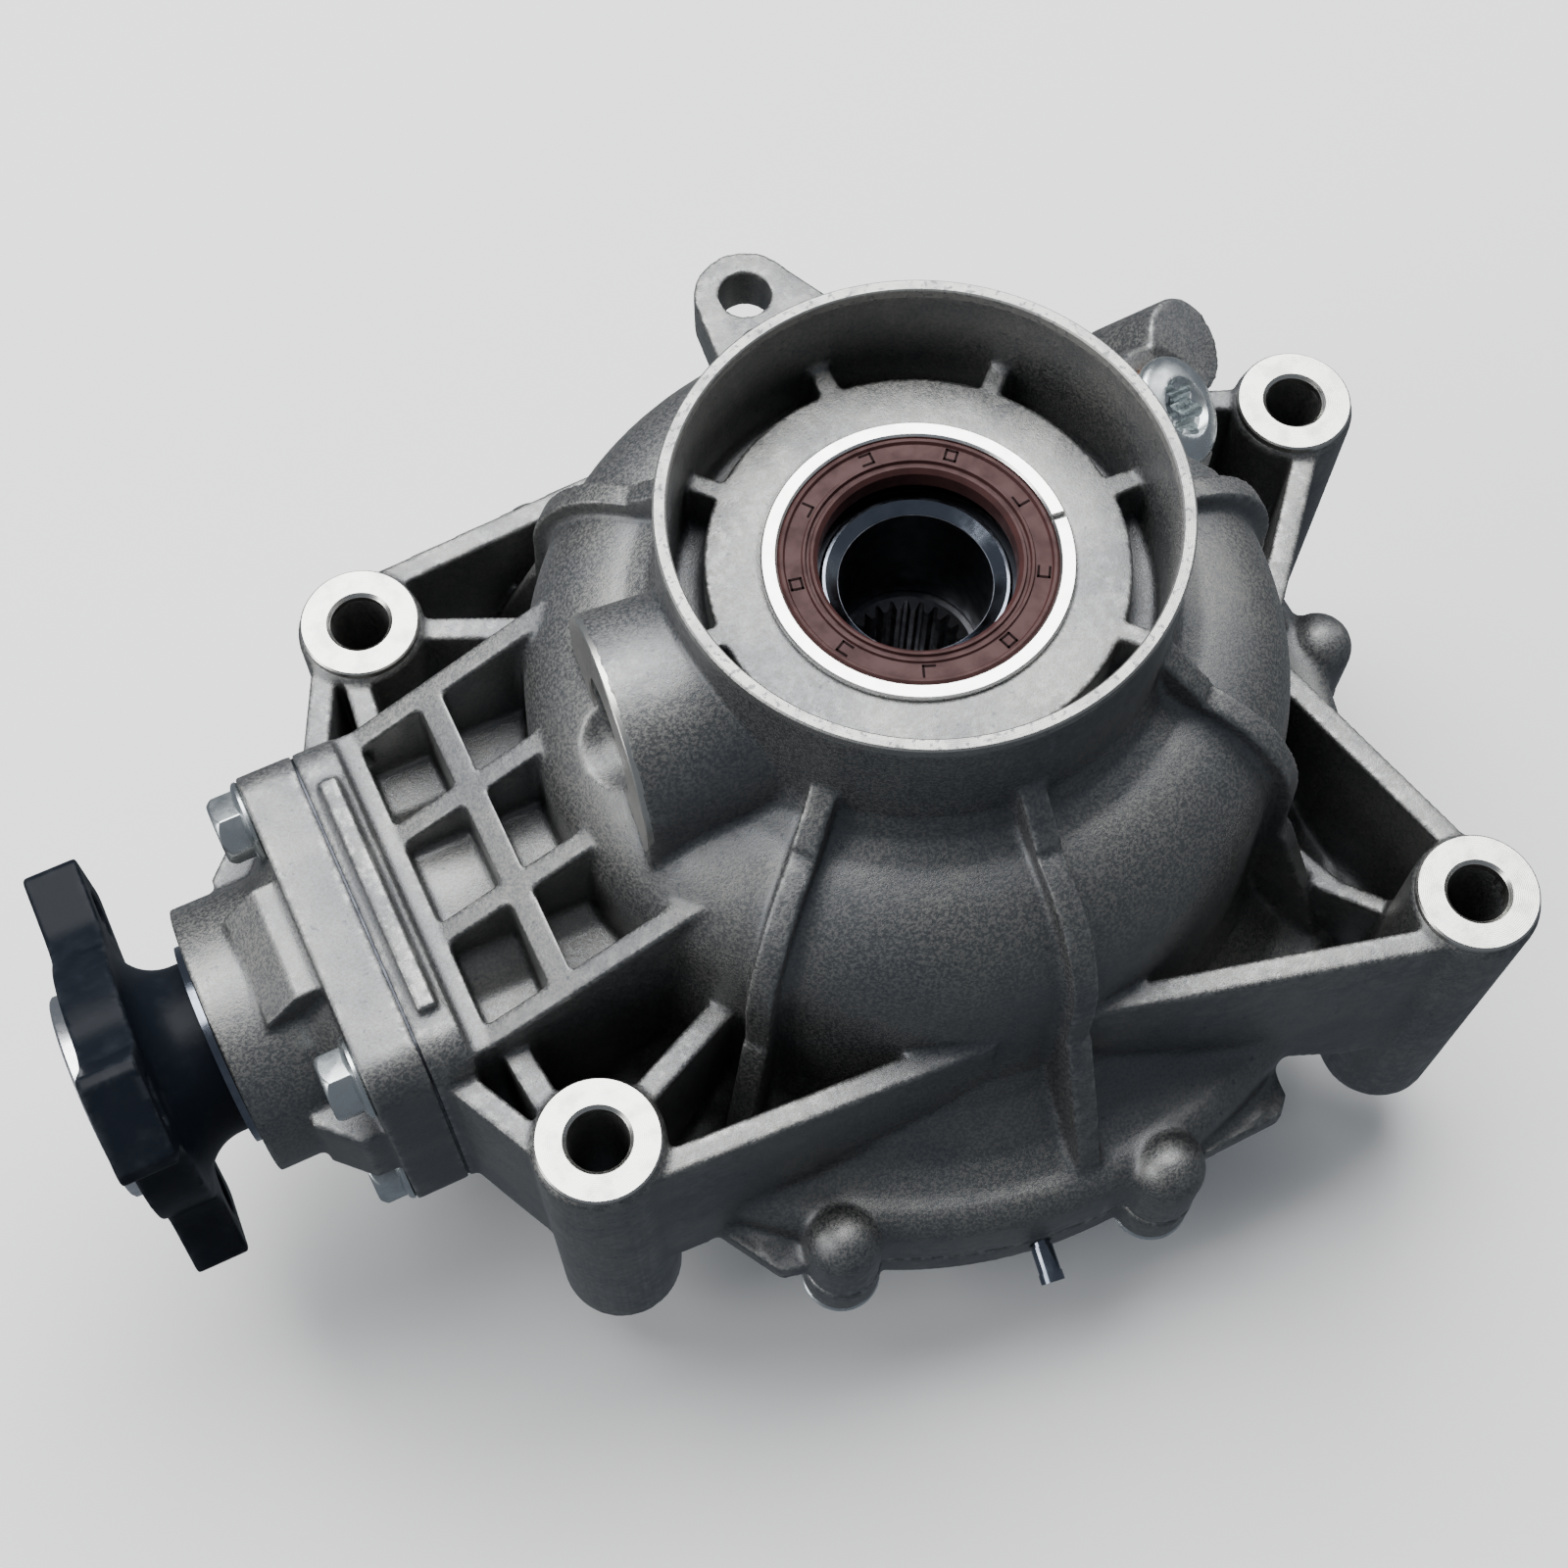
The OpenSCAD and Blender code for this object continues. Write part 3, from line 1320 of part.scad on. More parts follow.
module cross_pin() {
    color("silver") up(0) difference() {
        rotate([90, 0, 0]) cylinder(d = cross_pin_d, h = 2 * case_r - 2, center = true);
        lock_place() cylinder(d = lock_d, h = 60, center = true);
    }
}

module cross_pin_lock() {
    color("gray") up(0) lock_place() cylinder(d = lock_d - 2 * slip_fit, h = lock_len, center = true);
}

// Side gear, drawn as the lower one with its teeth facing up
module side_gear() {
    len_out = side_pitch_r / sin(side_angle);
    ded = side_ded * side_module;
    ratio = (len_out - side_face_w) / len_out;
    p_out = on_cone(side_angle, len_out, -ded);
    p_in = on_cone(side_angle, len_out - side_face_w, -ded * ratio);
    difference() {
        union() {
            bevel_teeth(side_teeth, side_pitch_r, side_angle, side_module, side_add, side_ded,
                side_face_w, -spider_shift, backlash);
            rotate_extrude() polygon([[spline_tip_r - 2, p_in[1]], p_in, p_out,
                [side_pitch_r - 1, -side_back_h], [hub_r, -side_back_h], [hub_r, -hub_end_h],
                [spline_tip_r - 2, -hub_end_h]]);
        }
        translate([0, 0, -hub_end_h - 1]) linear_extrude(hub_end_h) spline_hole();
        translate([0, 0, -hub_end_h - 1]) cylinder(r1 = spline_root_r + 1.4,
            r2 = spline_tip_r - 0.4, h = 3.4);
    }
}

module spline_hole() {
    step = 360 / spline_count;
    polygon([for (i = [0 : spline_count - 1], k = [0 : 3])
        let (r = k == 1 || k == 2 ? spline_root_r : spline_tip_r,
            a = (i + [0.05, 0.28, 0.5, 0.73][k]) * step) [r * cos(a), r * sin(a)]]);
}

module lower_side_gear() {
    color("dimgray") up(0) side_gear();
}

module upper_side_gear() {
    color("dimgray") up(0) rotate([180, 0, 0]) side_gear();
}

module spider_gear() {
    angle = 90 - side_angle;
    len_out = spider_pitch_r / sin(angle);
    ded = spider_ded * side_module;
    ratio = (len_out - side_face_w) / len_out;
    p_out = on_cone(angle, len_out, -ded);
    p_in = on_cone(angle, len_out - side_face_w, -ded * ratio);
    bore = cross_pin_d / 2 + run_fit;
    difference() {
        union() {
            bevel_teeth(spider_teeth, spider_pitch_r, angle, side_module, spider_add,
                spider_ded, side_face_w, spider_shift, backlash);
            rotate_extrude() polygon([[bore - 1, p_in[1]], p_in, p_out, [p_out[0] - 1, -spider_back],
                [bore - 1, -spider_back]]);
        }
        translate([0, 0, -far / 2]) cylinder(r = bore, h = far);
    }
}

module left_spider_gear() {
    color("gray") up(0) rotate([90, 0, 0]) spider_gear();
}

module right_spider_gear() {
    color("gray") up(0) rotate([-90, 0, 0]) spider_gear();
}

module thrust_washer() {
    tube(side_pitch_r - 1, hub_r + 0.3, thrust_t - thrust_play);
}

module lower_thrust_washer() {
    color("peru") up(-side_back_h - thrust_t) thrust_washer();
}

module upper_thrust_washer() {
    color("peru") up(side_back_h + thrust_play) thrust_washer();
}

main_housing();
side_cover();
cover_gasket();
cover_bolts();
dowel_pins();
pinion_retainer();
retainer_shim();
retainer_o_ring();
retainer_bolts();
pinion_seal();
upper_axle_seal();
lower_axle_seal();
fill_plug();
fill_plug_washer();
drain_plug();
drain_plug_washer();
vent_nipple();
port_cup_plug();
upper_bearing_outer_ring();
lower_bearing_outer_ring();
inner_pinion_cup();
outer_pinion_cup();
upper_bearing_balls();
lower_bearing_balls();
inner_pinion_rollers();
outer_pinion_rollers();
input_flange();
flange_dust_ring();
flange_nut();
flange_washer();
pinion_gear();
pinion_spacer();
inner_pinion_cone();
outer_pinion_cone();
differential_case();
ring_gear();
ring_gear_bolts();
upper_bearing_inner_ring();
lower_bearing_inner_ring();
cross_pin();
cross_pin_lock();
upper_side_gear();
lower_side_gear();
left_spider_gear();
right_spider_gear();
upper_thrust_washer();
lower_thrust_washer();
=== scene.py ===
import bpy
import json
import math
import numpy as np
from mathutils import Matrix, Vector


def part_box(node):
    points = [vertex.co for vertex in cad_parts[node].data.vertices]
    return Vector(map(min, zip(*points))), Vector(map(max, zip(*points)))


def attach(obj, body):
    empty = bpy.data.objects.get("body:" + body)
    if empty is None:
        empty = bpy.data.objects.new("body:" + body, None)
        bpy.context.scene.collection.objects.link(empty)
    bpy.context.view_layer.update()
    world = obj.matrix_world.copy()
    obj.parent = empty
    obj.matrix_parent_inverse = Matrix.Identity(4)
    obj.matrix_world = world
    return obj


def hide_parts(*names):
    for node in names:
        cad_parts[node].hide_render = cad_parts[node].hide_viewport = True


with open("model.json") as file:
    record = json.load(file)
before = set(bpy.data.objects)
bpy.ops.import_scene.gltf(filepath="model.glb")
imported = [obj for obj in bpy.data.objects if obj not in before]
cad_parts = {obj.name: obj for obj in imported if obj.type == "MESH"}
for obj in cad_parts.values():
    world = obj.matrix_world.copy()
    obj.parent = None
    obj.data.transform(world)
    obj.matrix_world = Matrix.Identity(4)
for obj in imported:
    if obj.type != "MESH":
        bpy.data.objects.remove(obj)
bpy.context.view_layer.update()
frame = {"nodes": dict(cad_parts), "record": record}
nodes = frame["nodes"]
mm = 0.001
print("frame loaded:", len(nodes), "nodes")


def low(node):
    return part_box(node)[0] / mm


def high(node):
    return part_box(node)[1] / mm


def middle(node):
    return (low(node) + high(node)) / 2


# places in mm that all the pieces share, read off the frame
collarTop = high("main_housing").z
sealRise = 10.5  # from a bearing to the outer face of its axle seal
sealFace = high("upper_bearing_outer_ring").z + sealRise
lowSealFace = low("lower_bearing_outer_ring").z - sealRise
pinionZ = middle("pinion_spacer").z
noseFace = low("main_housing").x
joint = high("cover_gasket").z
flangeFront = low("input_flange").x
bossRise = 30
bossLength = 90
bossTop = pinionZ + bossRise
bossEnd = bossTop - bossLength
bossPlaces = [(-90.5, 58), (-90.5, -58), (78, -85), (102, 24)]


# tools for modelling

smoothAngle = 32  # edges under this many degrees look smooth


def deselect():
    if bpy.context.object and bpy.context.object.mode != "OBJECT":
        bpy.ops.object.mode_set(mode="OBJECT")
    bpy.ops.object.select_all(action="DESELECT")


def pick(obj, *others):
    deselect()
    for o in (obj, *others):
        o.select_set(True)
    bpy.context.view_layer.objects.active = obj


def applyModifier(obj, kind, **settings):
    pick(obj)
    modifier = obj.modifiers.new(kind.title(), kind)
    for key, value in settings.items():
        setattr(modifier, key, value)
    bpy.ops.object.modifier_apply(modifier=modifier.name)


def editAll(obj):
    pick(obj)
    bpy.ops.object.mode_set(mode="EDIT")
    bpy.ops.mesh.select_all(action="SELECT")


def place(obj, matrix=Matrix.Identity(4)):
    # puts the place into the mesh, so that the object stays at the origin
    obj.data.transform(matrix @ obj.matrix_world)
    obj.matrix_world = Matrix.Identity(4)
    return obj


def newObject(name, mesh):
    obj = bpy.data.objects.new(name, mesh.copy())
    bpy.context.scene.collection.objects.link(obj)
    return obj


def smoothBelow(obj, angle):
    pick(obj)
    bpy.ops.object.shade_smooth_by_angle(angle=math.radians(angle))


def join(name, parts):
    pick(*parts)
    if len(parts) > 1:
        bpy.ops.object.join()
    obj = bpy.context.object
    obj.name = obj.data.name = name
    return obj


def copies(name, obj, matrices):
    made = [place(newObject(name, obj.data), matrix) for matrix in matrices]
    bpy.data.objects.remove(obj)
    return join(name, made)


def cut(obj, tool, operation="DIFFERENCE"):
    applyModifier(obj, "BOOLEAN", operation=operation, solver="EXACT", object=tool)
    bpy.data.objects.remove(tool)


def soften(obj, width, segments=2, angle=30):
    applyModifier(obj, "BEVEL", width=width * mm, segments=segments, limit_method="ANGLE",
                  angle_limit=math.radians(angle), harden_normals=False)
    smoothBelow(obj, smoothAngle)


def turned(name, profile, steps=96, closed=True):
    # a turned piece: a circle is extruded and scaled from one [radius, height] point in mm to the next
    deselect()
    radius, height = profile[0]
    bpy.ops.mesh.primitive_circle_add(vertices=steps, radius=radius * mm)
    obj = bpy.context.object
    obj.name = name
    editAll(obj)
    bpy.ops.transform.translate(value=(0, 0, height * mm))
    if not closed:
        bpy.ops.mesh.edge_face_add()
    for nextRadius, nextHeight in profile[1:] + (profile[:1] if closed else []):
        bpy.ops.mesh.extrude_region_move(
            TRANSFORM_OT_translate={"value": (0, 0, (nextHeight - height) * mm)})
        scale = nextRadius / radius
        bpy.ops.transform.resize(value=(scale, scale, 1), center_override=(0, 0, nextHeight * mm))
        radius, height = nextRadius, nextHeight
    bpy.ops.mesh.select_all(action="SELECT")
    bpy.ops.mesh.remove_doubles(threshold=0.002 * mm)
    bpy.ops.mesh.normals_make_consistent(inside=False)
    bpy.ops.object.mode_set(mode="OBJECT")
    return obj


def prism(name, sides, radius, depth, height=0, turn=0):
    deselect()
    bpy.ops.mesh.primitive_cylinder_add(vertices=sides, radius=radius * mm, depth=depth * mm,
                                        location=(0, 0, (height + depth / 2) * mm),
                                        rotation=(0, 0, math.radians(turn)))
    bpy.context.object.name = name
    return place(bpy.context.object)


def block(name, sizeX, sizeY, sizeZ, centre=(0, 0, 0)):
    deselect()
    bpy.ops.mesh.primitive_cube_add(size=1, location=[v * mm for v in centre])
    obj = bpy.context.object
    obj.name = name
    obj.scale = (sizeX * mm, sizeY * mm, sizeZ * mm)
    bpy.context.view_layer.update()
    return place(obj)


def at(x, y, z, turnZ=0):
    return Matrix.Translation((x * mm, y * mm, z * mm)) @ Matrix.Rotation(math.radians(turnZ), 4, "Z")


def facing(point, direction):
    # turns Z to a direction and moves to a point given in mm
    turn = Vector(direction).to_track_quat("Z", "Y").to_matrix().to_4x4()
    return Matrix.Translation(Vector(point) * mm) @ turn


def finishPiece(obj, body, slot, material, *replaced):
    obj.data.materials.clear()
    obj.data.materials.append(material)
    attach(obj, body)
    if replaced:
        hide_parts(*replaced)
    return obj


# tools for shaders


class Wire:
    # a node's output, so that shader maths reads as plain sums
    def __init__(self, finish, socket):
        self.finish = finish
        self.socket = socket

    def maths(self, operation, first, second):
        return self.finish.node("Math", {"operation": operation}, {0: first, 1: second})

    def __add__(self, other): return self.maths("ADD", self, other)
    def __radd__(self, other): return self.maths("ADD", other, self)
    def __sub__(self, other): return self.maths("SUBTRACT", self, other)
    def __rsub__(self, other): return self.maths("SUBTRACT", other, self)
    def __mul__(self, other): return self.maths("MULTIPLY", self, other)
    def __rmul__(self, other): return self.maths("MULTIPLY", other, self)
    def __pow__(self, other): return self.maths("POWER", self, other)


class Finish:
    def __init__(self, name, **fixed):
        self.material = bpy.data.materials.new(name)
        self.material.use_nodes = True
        self.tree = self.material.node_tree
        self.shader = self.tree.nodes["Principled BSDF"]
        for key, value in fixed.items():
            self.shader.inputs[key.replace("_", " ")].default_value = value
        self.coordinates = self.node("TexCoord", {}, {}, "Object")

    def node(self, kind, settings, inputs, output=0):
        made = self.tree.nodes.new("ShaderNode" + kind)
        for key, value in settings.items():
            setattr(made, key, value)
        for key, value in inputs.items():
            if isinstance(value, Wire):
                self.tree.links.new(value.socket, made.inputs[key])
            else:
                made.inputs[key].default_value = value
        return Wire(self, made.outputs[output])

    def noise(self, size, detail=2.0, roughness=0.5, stretch=None):
        # size is the width of one blotch in mm
        where = self.coordinates
        if stretch:
            where = self.node("Mapping", {}, {"Vector": where, "Scale": stretch})
        return self.node("TexNoise", {}, {"Vector": where, "Scale": 1 / (size * mm), "Detail": detail,
                                          "Roughness": roughness}, "Fac")

    def step(self, value, start, end):
        # 0 below start, 1 above end, smooth between
        return self.node("MapRange", {"interpolation_type": "SMOOTHSTEP"},
                         {"Value": value, "From Min": start, "From Max": end}, "Result")

    def mix(self, factor, one, other):
        colours = [c if isinstance(c, Wire) else (*c, 1) for c in (one, other)]
        return self.node("Mix", {"data_type": "RGBA"}, {0: factor, 6: colours[0], 7: colours[1]}, 2)

    def axisParts(self):
        return [self.node("SeparateXYZ", {}, {0: self.coordinates}, i) for i in range(3)]

    def attribute(self, name):
        return self.node("Attribute", {"attribute_name": name}, {}, "Fac")

    def bump(self, *layers):
        # each layer is (height, depth in mm)
        normal = None
        for height, depth in layers:
            inputs = {"Height": height, "Strength": 1.0, "Distance": depth * mm}
            if normal:
                inputs["Normal"] = normal
            normal = self.node("Bump", {}, inputs)
        self.set(Normal=normal)

    def set(self, **inputs):
        for key, value in inputs.items():
            socket = self.shader.inputs[key.replace("_", " ")]
            if isinstance(value, Wire):
                self.tree.links.new(value.socket, socket)
            else:
                socket.default_value = value


# finishes

# the dark colour serves grain pits and specks, and also painted shade in the hollows
castLook = {"grain": 0.62, "grainDepth": 0.065, "pale": (0.28, 0.277, 0.262), "dull": (0.20, 0.204, 0.21),
            "darkAndPaintedShade": (0.07, 0.08, 0.10), "bright": (0.56, 0.56, 0.54), "roughness": 0.45}


def castAluminium(name, look=castLook):
    f = Finish(name, Metallic=1.0)
    patches = f.step(f.noise(26, 3, 0.55), 0.38, 0.66)
    blotches = f.step(f.noise(4.5, 3, 0.6), 0.42, 0.72)
    grain = f.noise(look["grain"], 2, 0.7)
    peaks = f.step(grain, 0.40, 0.62)
    worn = f.attribute("worn") * f.step(f.noise(2.4, 3, 0.6), 0.44, 0.62)
    darkAndPaintedShade = f.attribute("darkAndPaintedShade")
    colour = f.mix(patches * 0.7, look["pale"], look["dull"])
    colour = f.mix(blotches * 0.3, colour, look["dull"])
    colour = f.mix((1 - peaks) * 0.42, colour, look["darkAndPaintedShade"])
    # painted shade: hollows found from the mesh are darkened towards the dark colour
    colour = f.mix(darkAndPaintedShade * 0.55, colour, look["darkAndPaintedShade"])
    colour = f.mix(worn * 0.5, colour, look["bright"])
    speck = f.step(f.noise(1.3, 1, 0.5), 0.70, 0.74)
    colour = f.mix(speck * 0.4, colour, look["darkAndPaintedShade"])
    f.set(Base_Color=colour, Roughness=look["roughness"] + 0.14 * peaks - 0.14 * worn + 0.05 * patches)
    f.bump((f.noise(7, 2, 0.5), 0.12), (grain, look["grainDepth"]), (f.noise(0.3, 1, 0.5), 0.025))
    return f.material


def machinedAluminium(name, centre=None, roughness=0.3, lay=0.09, colour=(0.60, 0.595, 0.565),
                      shade=(0.47, 0.47, 0.45), nicks=0.0):
    f = Finish(name, Metallic=1.0)
    x, y, z = f.axisParts()
    if centre:
        across = ((x - centre[0] * mm) ** 2 + (y - centre[1] * mm) ** 2) ** 0.5
        rings = f.node("Math", {"operation": "SINE"}, {0: across * (2 * math.pi / (lay * 4 * mm))})
    else:
        rings = f.noise(0.25, 2, 0.5, (1, 1, 6))
    stain = f.step(f.noise(5, 3, 0.6), 0.42, 0.72)
    scratch = f.step(f.noise(1.6, 3, 0.7, (1, 6, 1)), 0.60, 0.70)
    shown = f.mix(stain * 0.55, colour, shade)
    shown = f.mix(scratch * 0.3, shown, (0.92, 0.92, 0.90))
    dents = f.step(f.noise(1.2, 2, 0.6), 0.56, 0.66)
    if nicks:
        shown = f.mix(dents * nicks, shown, (0.24, 0.245, 0.25))
    f.set(Base_Color=shown, Roughness=roughness + 0.10 * stain + 0.05 * rings + nicks * 0.2 * dents)
    f.bump((rings, 0.003), (f.noise(0.5, 2, 0.6), 0.006 + nicks * 0.05))
    return f.material


def plated(name, colour, shade, roughness=0.27, grain=0.01, metallic=1.0):
    f = Finish(name, Metallic=metallic)
    cloud = f.step(f.noise(3, 3, 0.6), 0.35, 0.7)
    f.set(Base_Color=f.mix(cloud, colour, shade), Roughness=roughness + 0.12 * cloud)
    f.bump((f.noise(0.5, 2, 0.6), grain))
    return f.material


def blackCoat(name):
    f = Finish(name, Metallic=0.0, Specular_IOR_Level=0.08)
    dust = f.step(f.noise(9, 4, 0.65), 0.45, 0.8)
    edge = f.attribute("worn") * f.step(f.noise(3, 3, 0.6), 0.42, 0.62)
    colour = f.mix(dust, (0.006, 0.008, 0.012), (0.013, 0.016, 0.021))
    f.set(Base_Color=f.mix(edge * 0.3, colour, (0.06, 0.065, 0.075)), Roughness=0.36 + 0.16 * dust)
    f.bump((f.noise(1.8, 2, 0.5), 0.04), (f.noise(0.4, 2, 0.5), 0.015))
    return f.material


def rubber(name, colour, shade, roughness=0.42, sheen=0.25):
    f = Finish(name, Metallic=0.0, Specular_IOR_Level=sheen)
    cloud = f.step(f.noise(4, 3, 0.6), 0.35, 0.75)
    f.set(Base_Color=f.mix(cloud, colour, shade), Roughness=roughness + 0.15 * cloud)
    f.bump((f.noise(0.4, 2, 0.6), 0.01))
    return f.material


finishes = {
    "cast": castAluminium("castAluminium"),
    "machined": machinedAluminium("machinedAluminium"),
    "sealRing": machinedAluminium("turnedSealRing", (0, 0), 0.24, colour=(0.88, 0.88, 0.86),
                                  shade=(0.80, 0.80, 0.78)),
    "collar": machinedAluminium("collarRimMetal", (0, 0), 0.45, colour=(0.38, 0.38, 0.365),
                                shade=(0.27, 0.275, 0.275), nicks=0.8),
    "zinc": plated("zincPlate", (0.62, 0.66, 0.67), (0.50, 0.53, 0.54), 0.25),
    "bright": plated("brightSteel", (0.72, 0.73, 0.75), (0.60, 0.61, 0.63), 0.2),
    "bearing": plated("bearingSteel", (0.66, 0.67, 0.70), (0.55, 0.56, 0.60), 0.13, 0.003),
    "chrome": plated("polishedSteel", (0.20, 0.22, 0.26), (0.15, 0.17, 0.21), 0.12, 0.002),
    "gear": plated("gearSteel", (0.34, 0.34, 0.36), (0.22, 0.22, 0.24), 0.33),
    "caseIron": plated("caseIron", (0.060, 0.064, 0.075), (0.040, 0.043, 0.052), 0.38, 0.02),
    "copper": plated("softCopper", (0.72, 0.38, 0.22), (0.50, 0.25, 0.15), 0.35),
    "bronze": plated("bronze", (0.62, 0.42, 0.20), (0.45, 0.30, 0.14), 0.35),
    "brown": rubber("brownRubber", (0.058, 0.023, 0.022), (0.040, 0.016, 0.016), 0.5, 0.2),
    # near-black rubber for the seal marks: painted shade of their moulded recesses
    "paintedMarkShade": rubber("paintedMarkShade", (0.010, 0.004, 0.004), (0.007, 0.003, 0.003), 0.6, 0.05),
    "black": rubber("blackRubber", (0.012, 0.012, 0.013), (0.022, 0.022, 0.023), 0.5),
    "fibre": rubber("gasketFibre", (0.025, 0.027, 0.030), (0.045, 0.047, 0.05), 0.7),
    "coat": blackCoat("blackCoat"),
}
print("finishes made:", len(finishes))

slotFinish = {"cast_aluminium": "cast", "gasket": "fibre", "zinc_steel": "zinc", "bright_steel": "bright",
              "black_rubber": "black", "brown_rubber": "brown", "copper": "copper",
              "bearing_steel": "bearing", "black_steel": "coat", "gear_steel": "gear",
              "cast_iron": "caseIron", "bronze": "bronze"}
nodeFinish = {"retainer_shim": "caseIron", "flange_dust_ring": "chrome", "vent_nipple": "chrome"}
for part in frame["record"]["subparts"]:
    shown = nodes[part["node"]]
    shown.data.materials.clear()
    shown.data.materials.append(finishes[nodeFinish.get(part["node"], slotFinish[part["material_slot"]])])


# castings: a copy of the CAD solid is remade from small voxels and rubbed smooth, which gives it cast fillets


def coordinates(mesh):
    co = np.empty(len(mesh.vertices) * 3, np.float32)
    mesh.vertices.foreach_get("co", co)
    return co.reshape(-1, 3) / mm


def relief(mesh, spread):
    # how far each vertex lies below (above 0) or above (under 0) its neighbours, in mm
    count = len(mesh.vertices)
    co = coordinates(mesh)
    normal = np.empty(count * 3, np.float32)
    mesh.vertices.foreach_get("normal", normal)
    normal = normal.reshape(-1, 3)
    ends = np.empty(len(mesh.edges) * 2, np.int32)
    mesh.edges.foreach_get("vertices", ends)
    a, b = ends.reshape(-1, 2).T
    degree = np.maximum(np.bincount(a, minlength=count) + np.bincount(b, minlength=count), 1)

    def average(values):
        return (np.bincount(a, values[b], count) + np.bincount(b, values[a], count)) / degree

    rise = sum((average(co[:, i]) - co[:, i]) * normal[:, i] for i in range(3))
    for _ in range(spread):
        rise = average(rise)
    return rise


def rub(obj, chosen, iterations, **settings):
    group = obj.vertex_groups.new(name="rubbed")
    group.add(np.nonzero(chosen)[0].tolist(), 1.0, "REPLACE")
    applyModifier(obj, "SMOOTH", factor=0.5, iterations=iterations, vertex_group="rubbed", **settings)
    obj.vertex_groups.clear()


def castCopy(name, node, settings, extras=(), cuts=(), flats=None, hidden=None, soft=None):
    obj = newObject(name, nodes[node].data)
    editAll(obj)
    bpy.ops.mesh.remove_doubles(threshold=0.001 * mm)
    bpy.ops.object.mode_set(mode="OBJECT")
    pick(obj)
    bpy.ops.mesh.customdata_custom_splitnormals_clear()
    for tool in cuts:
        cut(obj, tool)
    if extras:
        obj = join(name, [obj, *extras])
    applyModifier(obj, "REMESH", mode="VOXEL", voxel_size=settings["voxel"] * coarse * mm)
    places = coordinates(obj.data).T
    flat = flats(*places) if flats else {}
    free = np.ones(len(places[0]), bool)
    for axis, chosen in flat.items():
        free &= ~chosen
        rub(obj, chosen, settings["rub"], **{"use_" + axis: False})
    rub(obj, free, settings["rub"])
    for _ in range(settings["filletPasses"]):
        rub(obj, (relief(obj.data, 3) > settings["innerLimit"] * settings["voxel"]) & free,
            settings["filletRub"])
    if soft:
        # places with wider fillets than the rest
        wide = soft(*coordinates(obj.data).T) & free
        for _ in range(settings["widePasses"]):
            rub(obj, (relief(obj.data, 6) > 0.4 * settings["innerLimit"] * settings["voxel"]) & wide, 10)
    rub(obj, free, 2)
    rise = relief(obj.data, 2) / settings["voxel"]
    # ridges get the worn layer for edge wear; hollows get a layer that drives painted shade
    for label, sign in (("worn", -1), ("darkAndPaintedShade", 1)):
        layer = obj.data.attributes.new(label, "FLOAT", "POINT")
        layer.data.foreach_set("value", np.clip(rise * sign * 8, 0, 1).astype(np.float32))
    fine = newObject("fine", obj.data)
    pick(fine)
    bpy.ops.object.shade_smooth()
    if hidden:
        group = obj.vertex_groups.new(name="hidden")
        inside = hidden(*coordinates(obj.data).T)
        group.add(np.nonzero(inside)[0].tolist(), 1.0, "REPLACE")
        applyModifier(obj, "DECIMATE", ratio=1 - (1 - settings["hiddenRatio"]) * inside.mean(),
                      vertex_group="hidden")
        obj.vertex_groups.clear()
    faces = sum(len(p.vertices) - 2 for p in obj.data.polygons)
    applyModifier(obj, "DECIMATE", ratio=min(1, settings["triangles"] / faces))
    pick(obj)
    bpy.ops.object.shade_smooth()
    applyModifier(obj, "DATA_TRANSFER", object=fine, use_loop_data=True, data_types_loops={"CUSTOM_NORMAL"},
                  loop_mapping="POLYINTERP_NEAREST")
    bpy.data.objects.remove(fine)
    print(name, "remade:", faces, "triangles, kept", len(obj.data.polygons))
    return obj


coarse = 1.0
bossFace = {"outer": 11.7, "bore": 5.8, "depth": 5, "sunk": 1.3, "edge": 0.35, "boreEdge": 0.7, "cutter": 14}
collar = {"outer": 46.3, "inner": 43.9, "band": 1.2, "edge": 0.35, "cutter": 60}
sealRing = {"inner": 25.0, "outer": 27.9, "depth": 4, "sunk": 1.6, "edge": 0.3, "cutter": 28.15}
port = {"face": (-61.5, -2, 146), "axis": (-0.9952, 0.0976, 0), "outer": 21.9, "bore": 10.6, "sunk": 0.5,
        "cutter": 22.1}
cutDepth = 6


def housingCuts():
    # the casting is taken down a little where a machined piece stands on it
    tools = []
    for x, y in bossPlaces:
        for height in (bossTop - bossFace["sunk"], bossEnd + bossFace["sunk"] - cutDepth):
            tools.append(place(prism("bossCut", 48, bossFace["cutter"], cutDepth), at(x, y, height)))
    for label, size, height in (("collarTop", collar["cutter"], collarTop - collar["band"]),
                                ("sealSeat", sealRing["cutter"], sealFace - sealRing["sunk"])):
        tools.append(place(prism(label, 96, size, cutDepth), at(0, 0, height)))
    tools.append(place(prism("portSeat", 64, port["cutter"], port["sunk"] + 0.3, -port["sunk"]),
                       facing(port["face"], port["axis"])))
    return tools


coverAngles = [-6, 36, 76, 117, 160, 200, 238, 277, 321]
coverBoltCircle = 98.5
saddle = {"radius": 7, "length": 11, "start": 88, "rise": 12.5}


def housingSaddles():
    # low ridges that lead from the foot of the dome to its bolt bulges
    lying = Matrix.Rotation(math.pi / 2, 4, "Y")
    return [copies("saddles", prism("saddle", 32, saddle["radius"], saddle["length"]),
                   [Matrix.Rotation(math.radians(a), 4, "Z")
                    @ at(saddle["start"], 0, joint + saddle["rise"]) @ lying for a in coverAngles])]


housing = {"voxel": 0.55, "rub": 5, "filletPasses": 5, "filletRub": 6, "innerLimit": 0.022,
           "hiddenRatio": 0.2, "triangles": 192000, "widePasses": 8}


def housingSoft(x, y, z):
    # foot of the dome with its bolt bulges
    return (np.hypot(x, y) > 80) & (z < 76) & (x > -80)


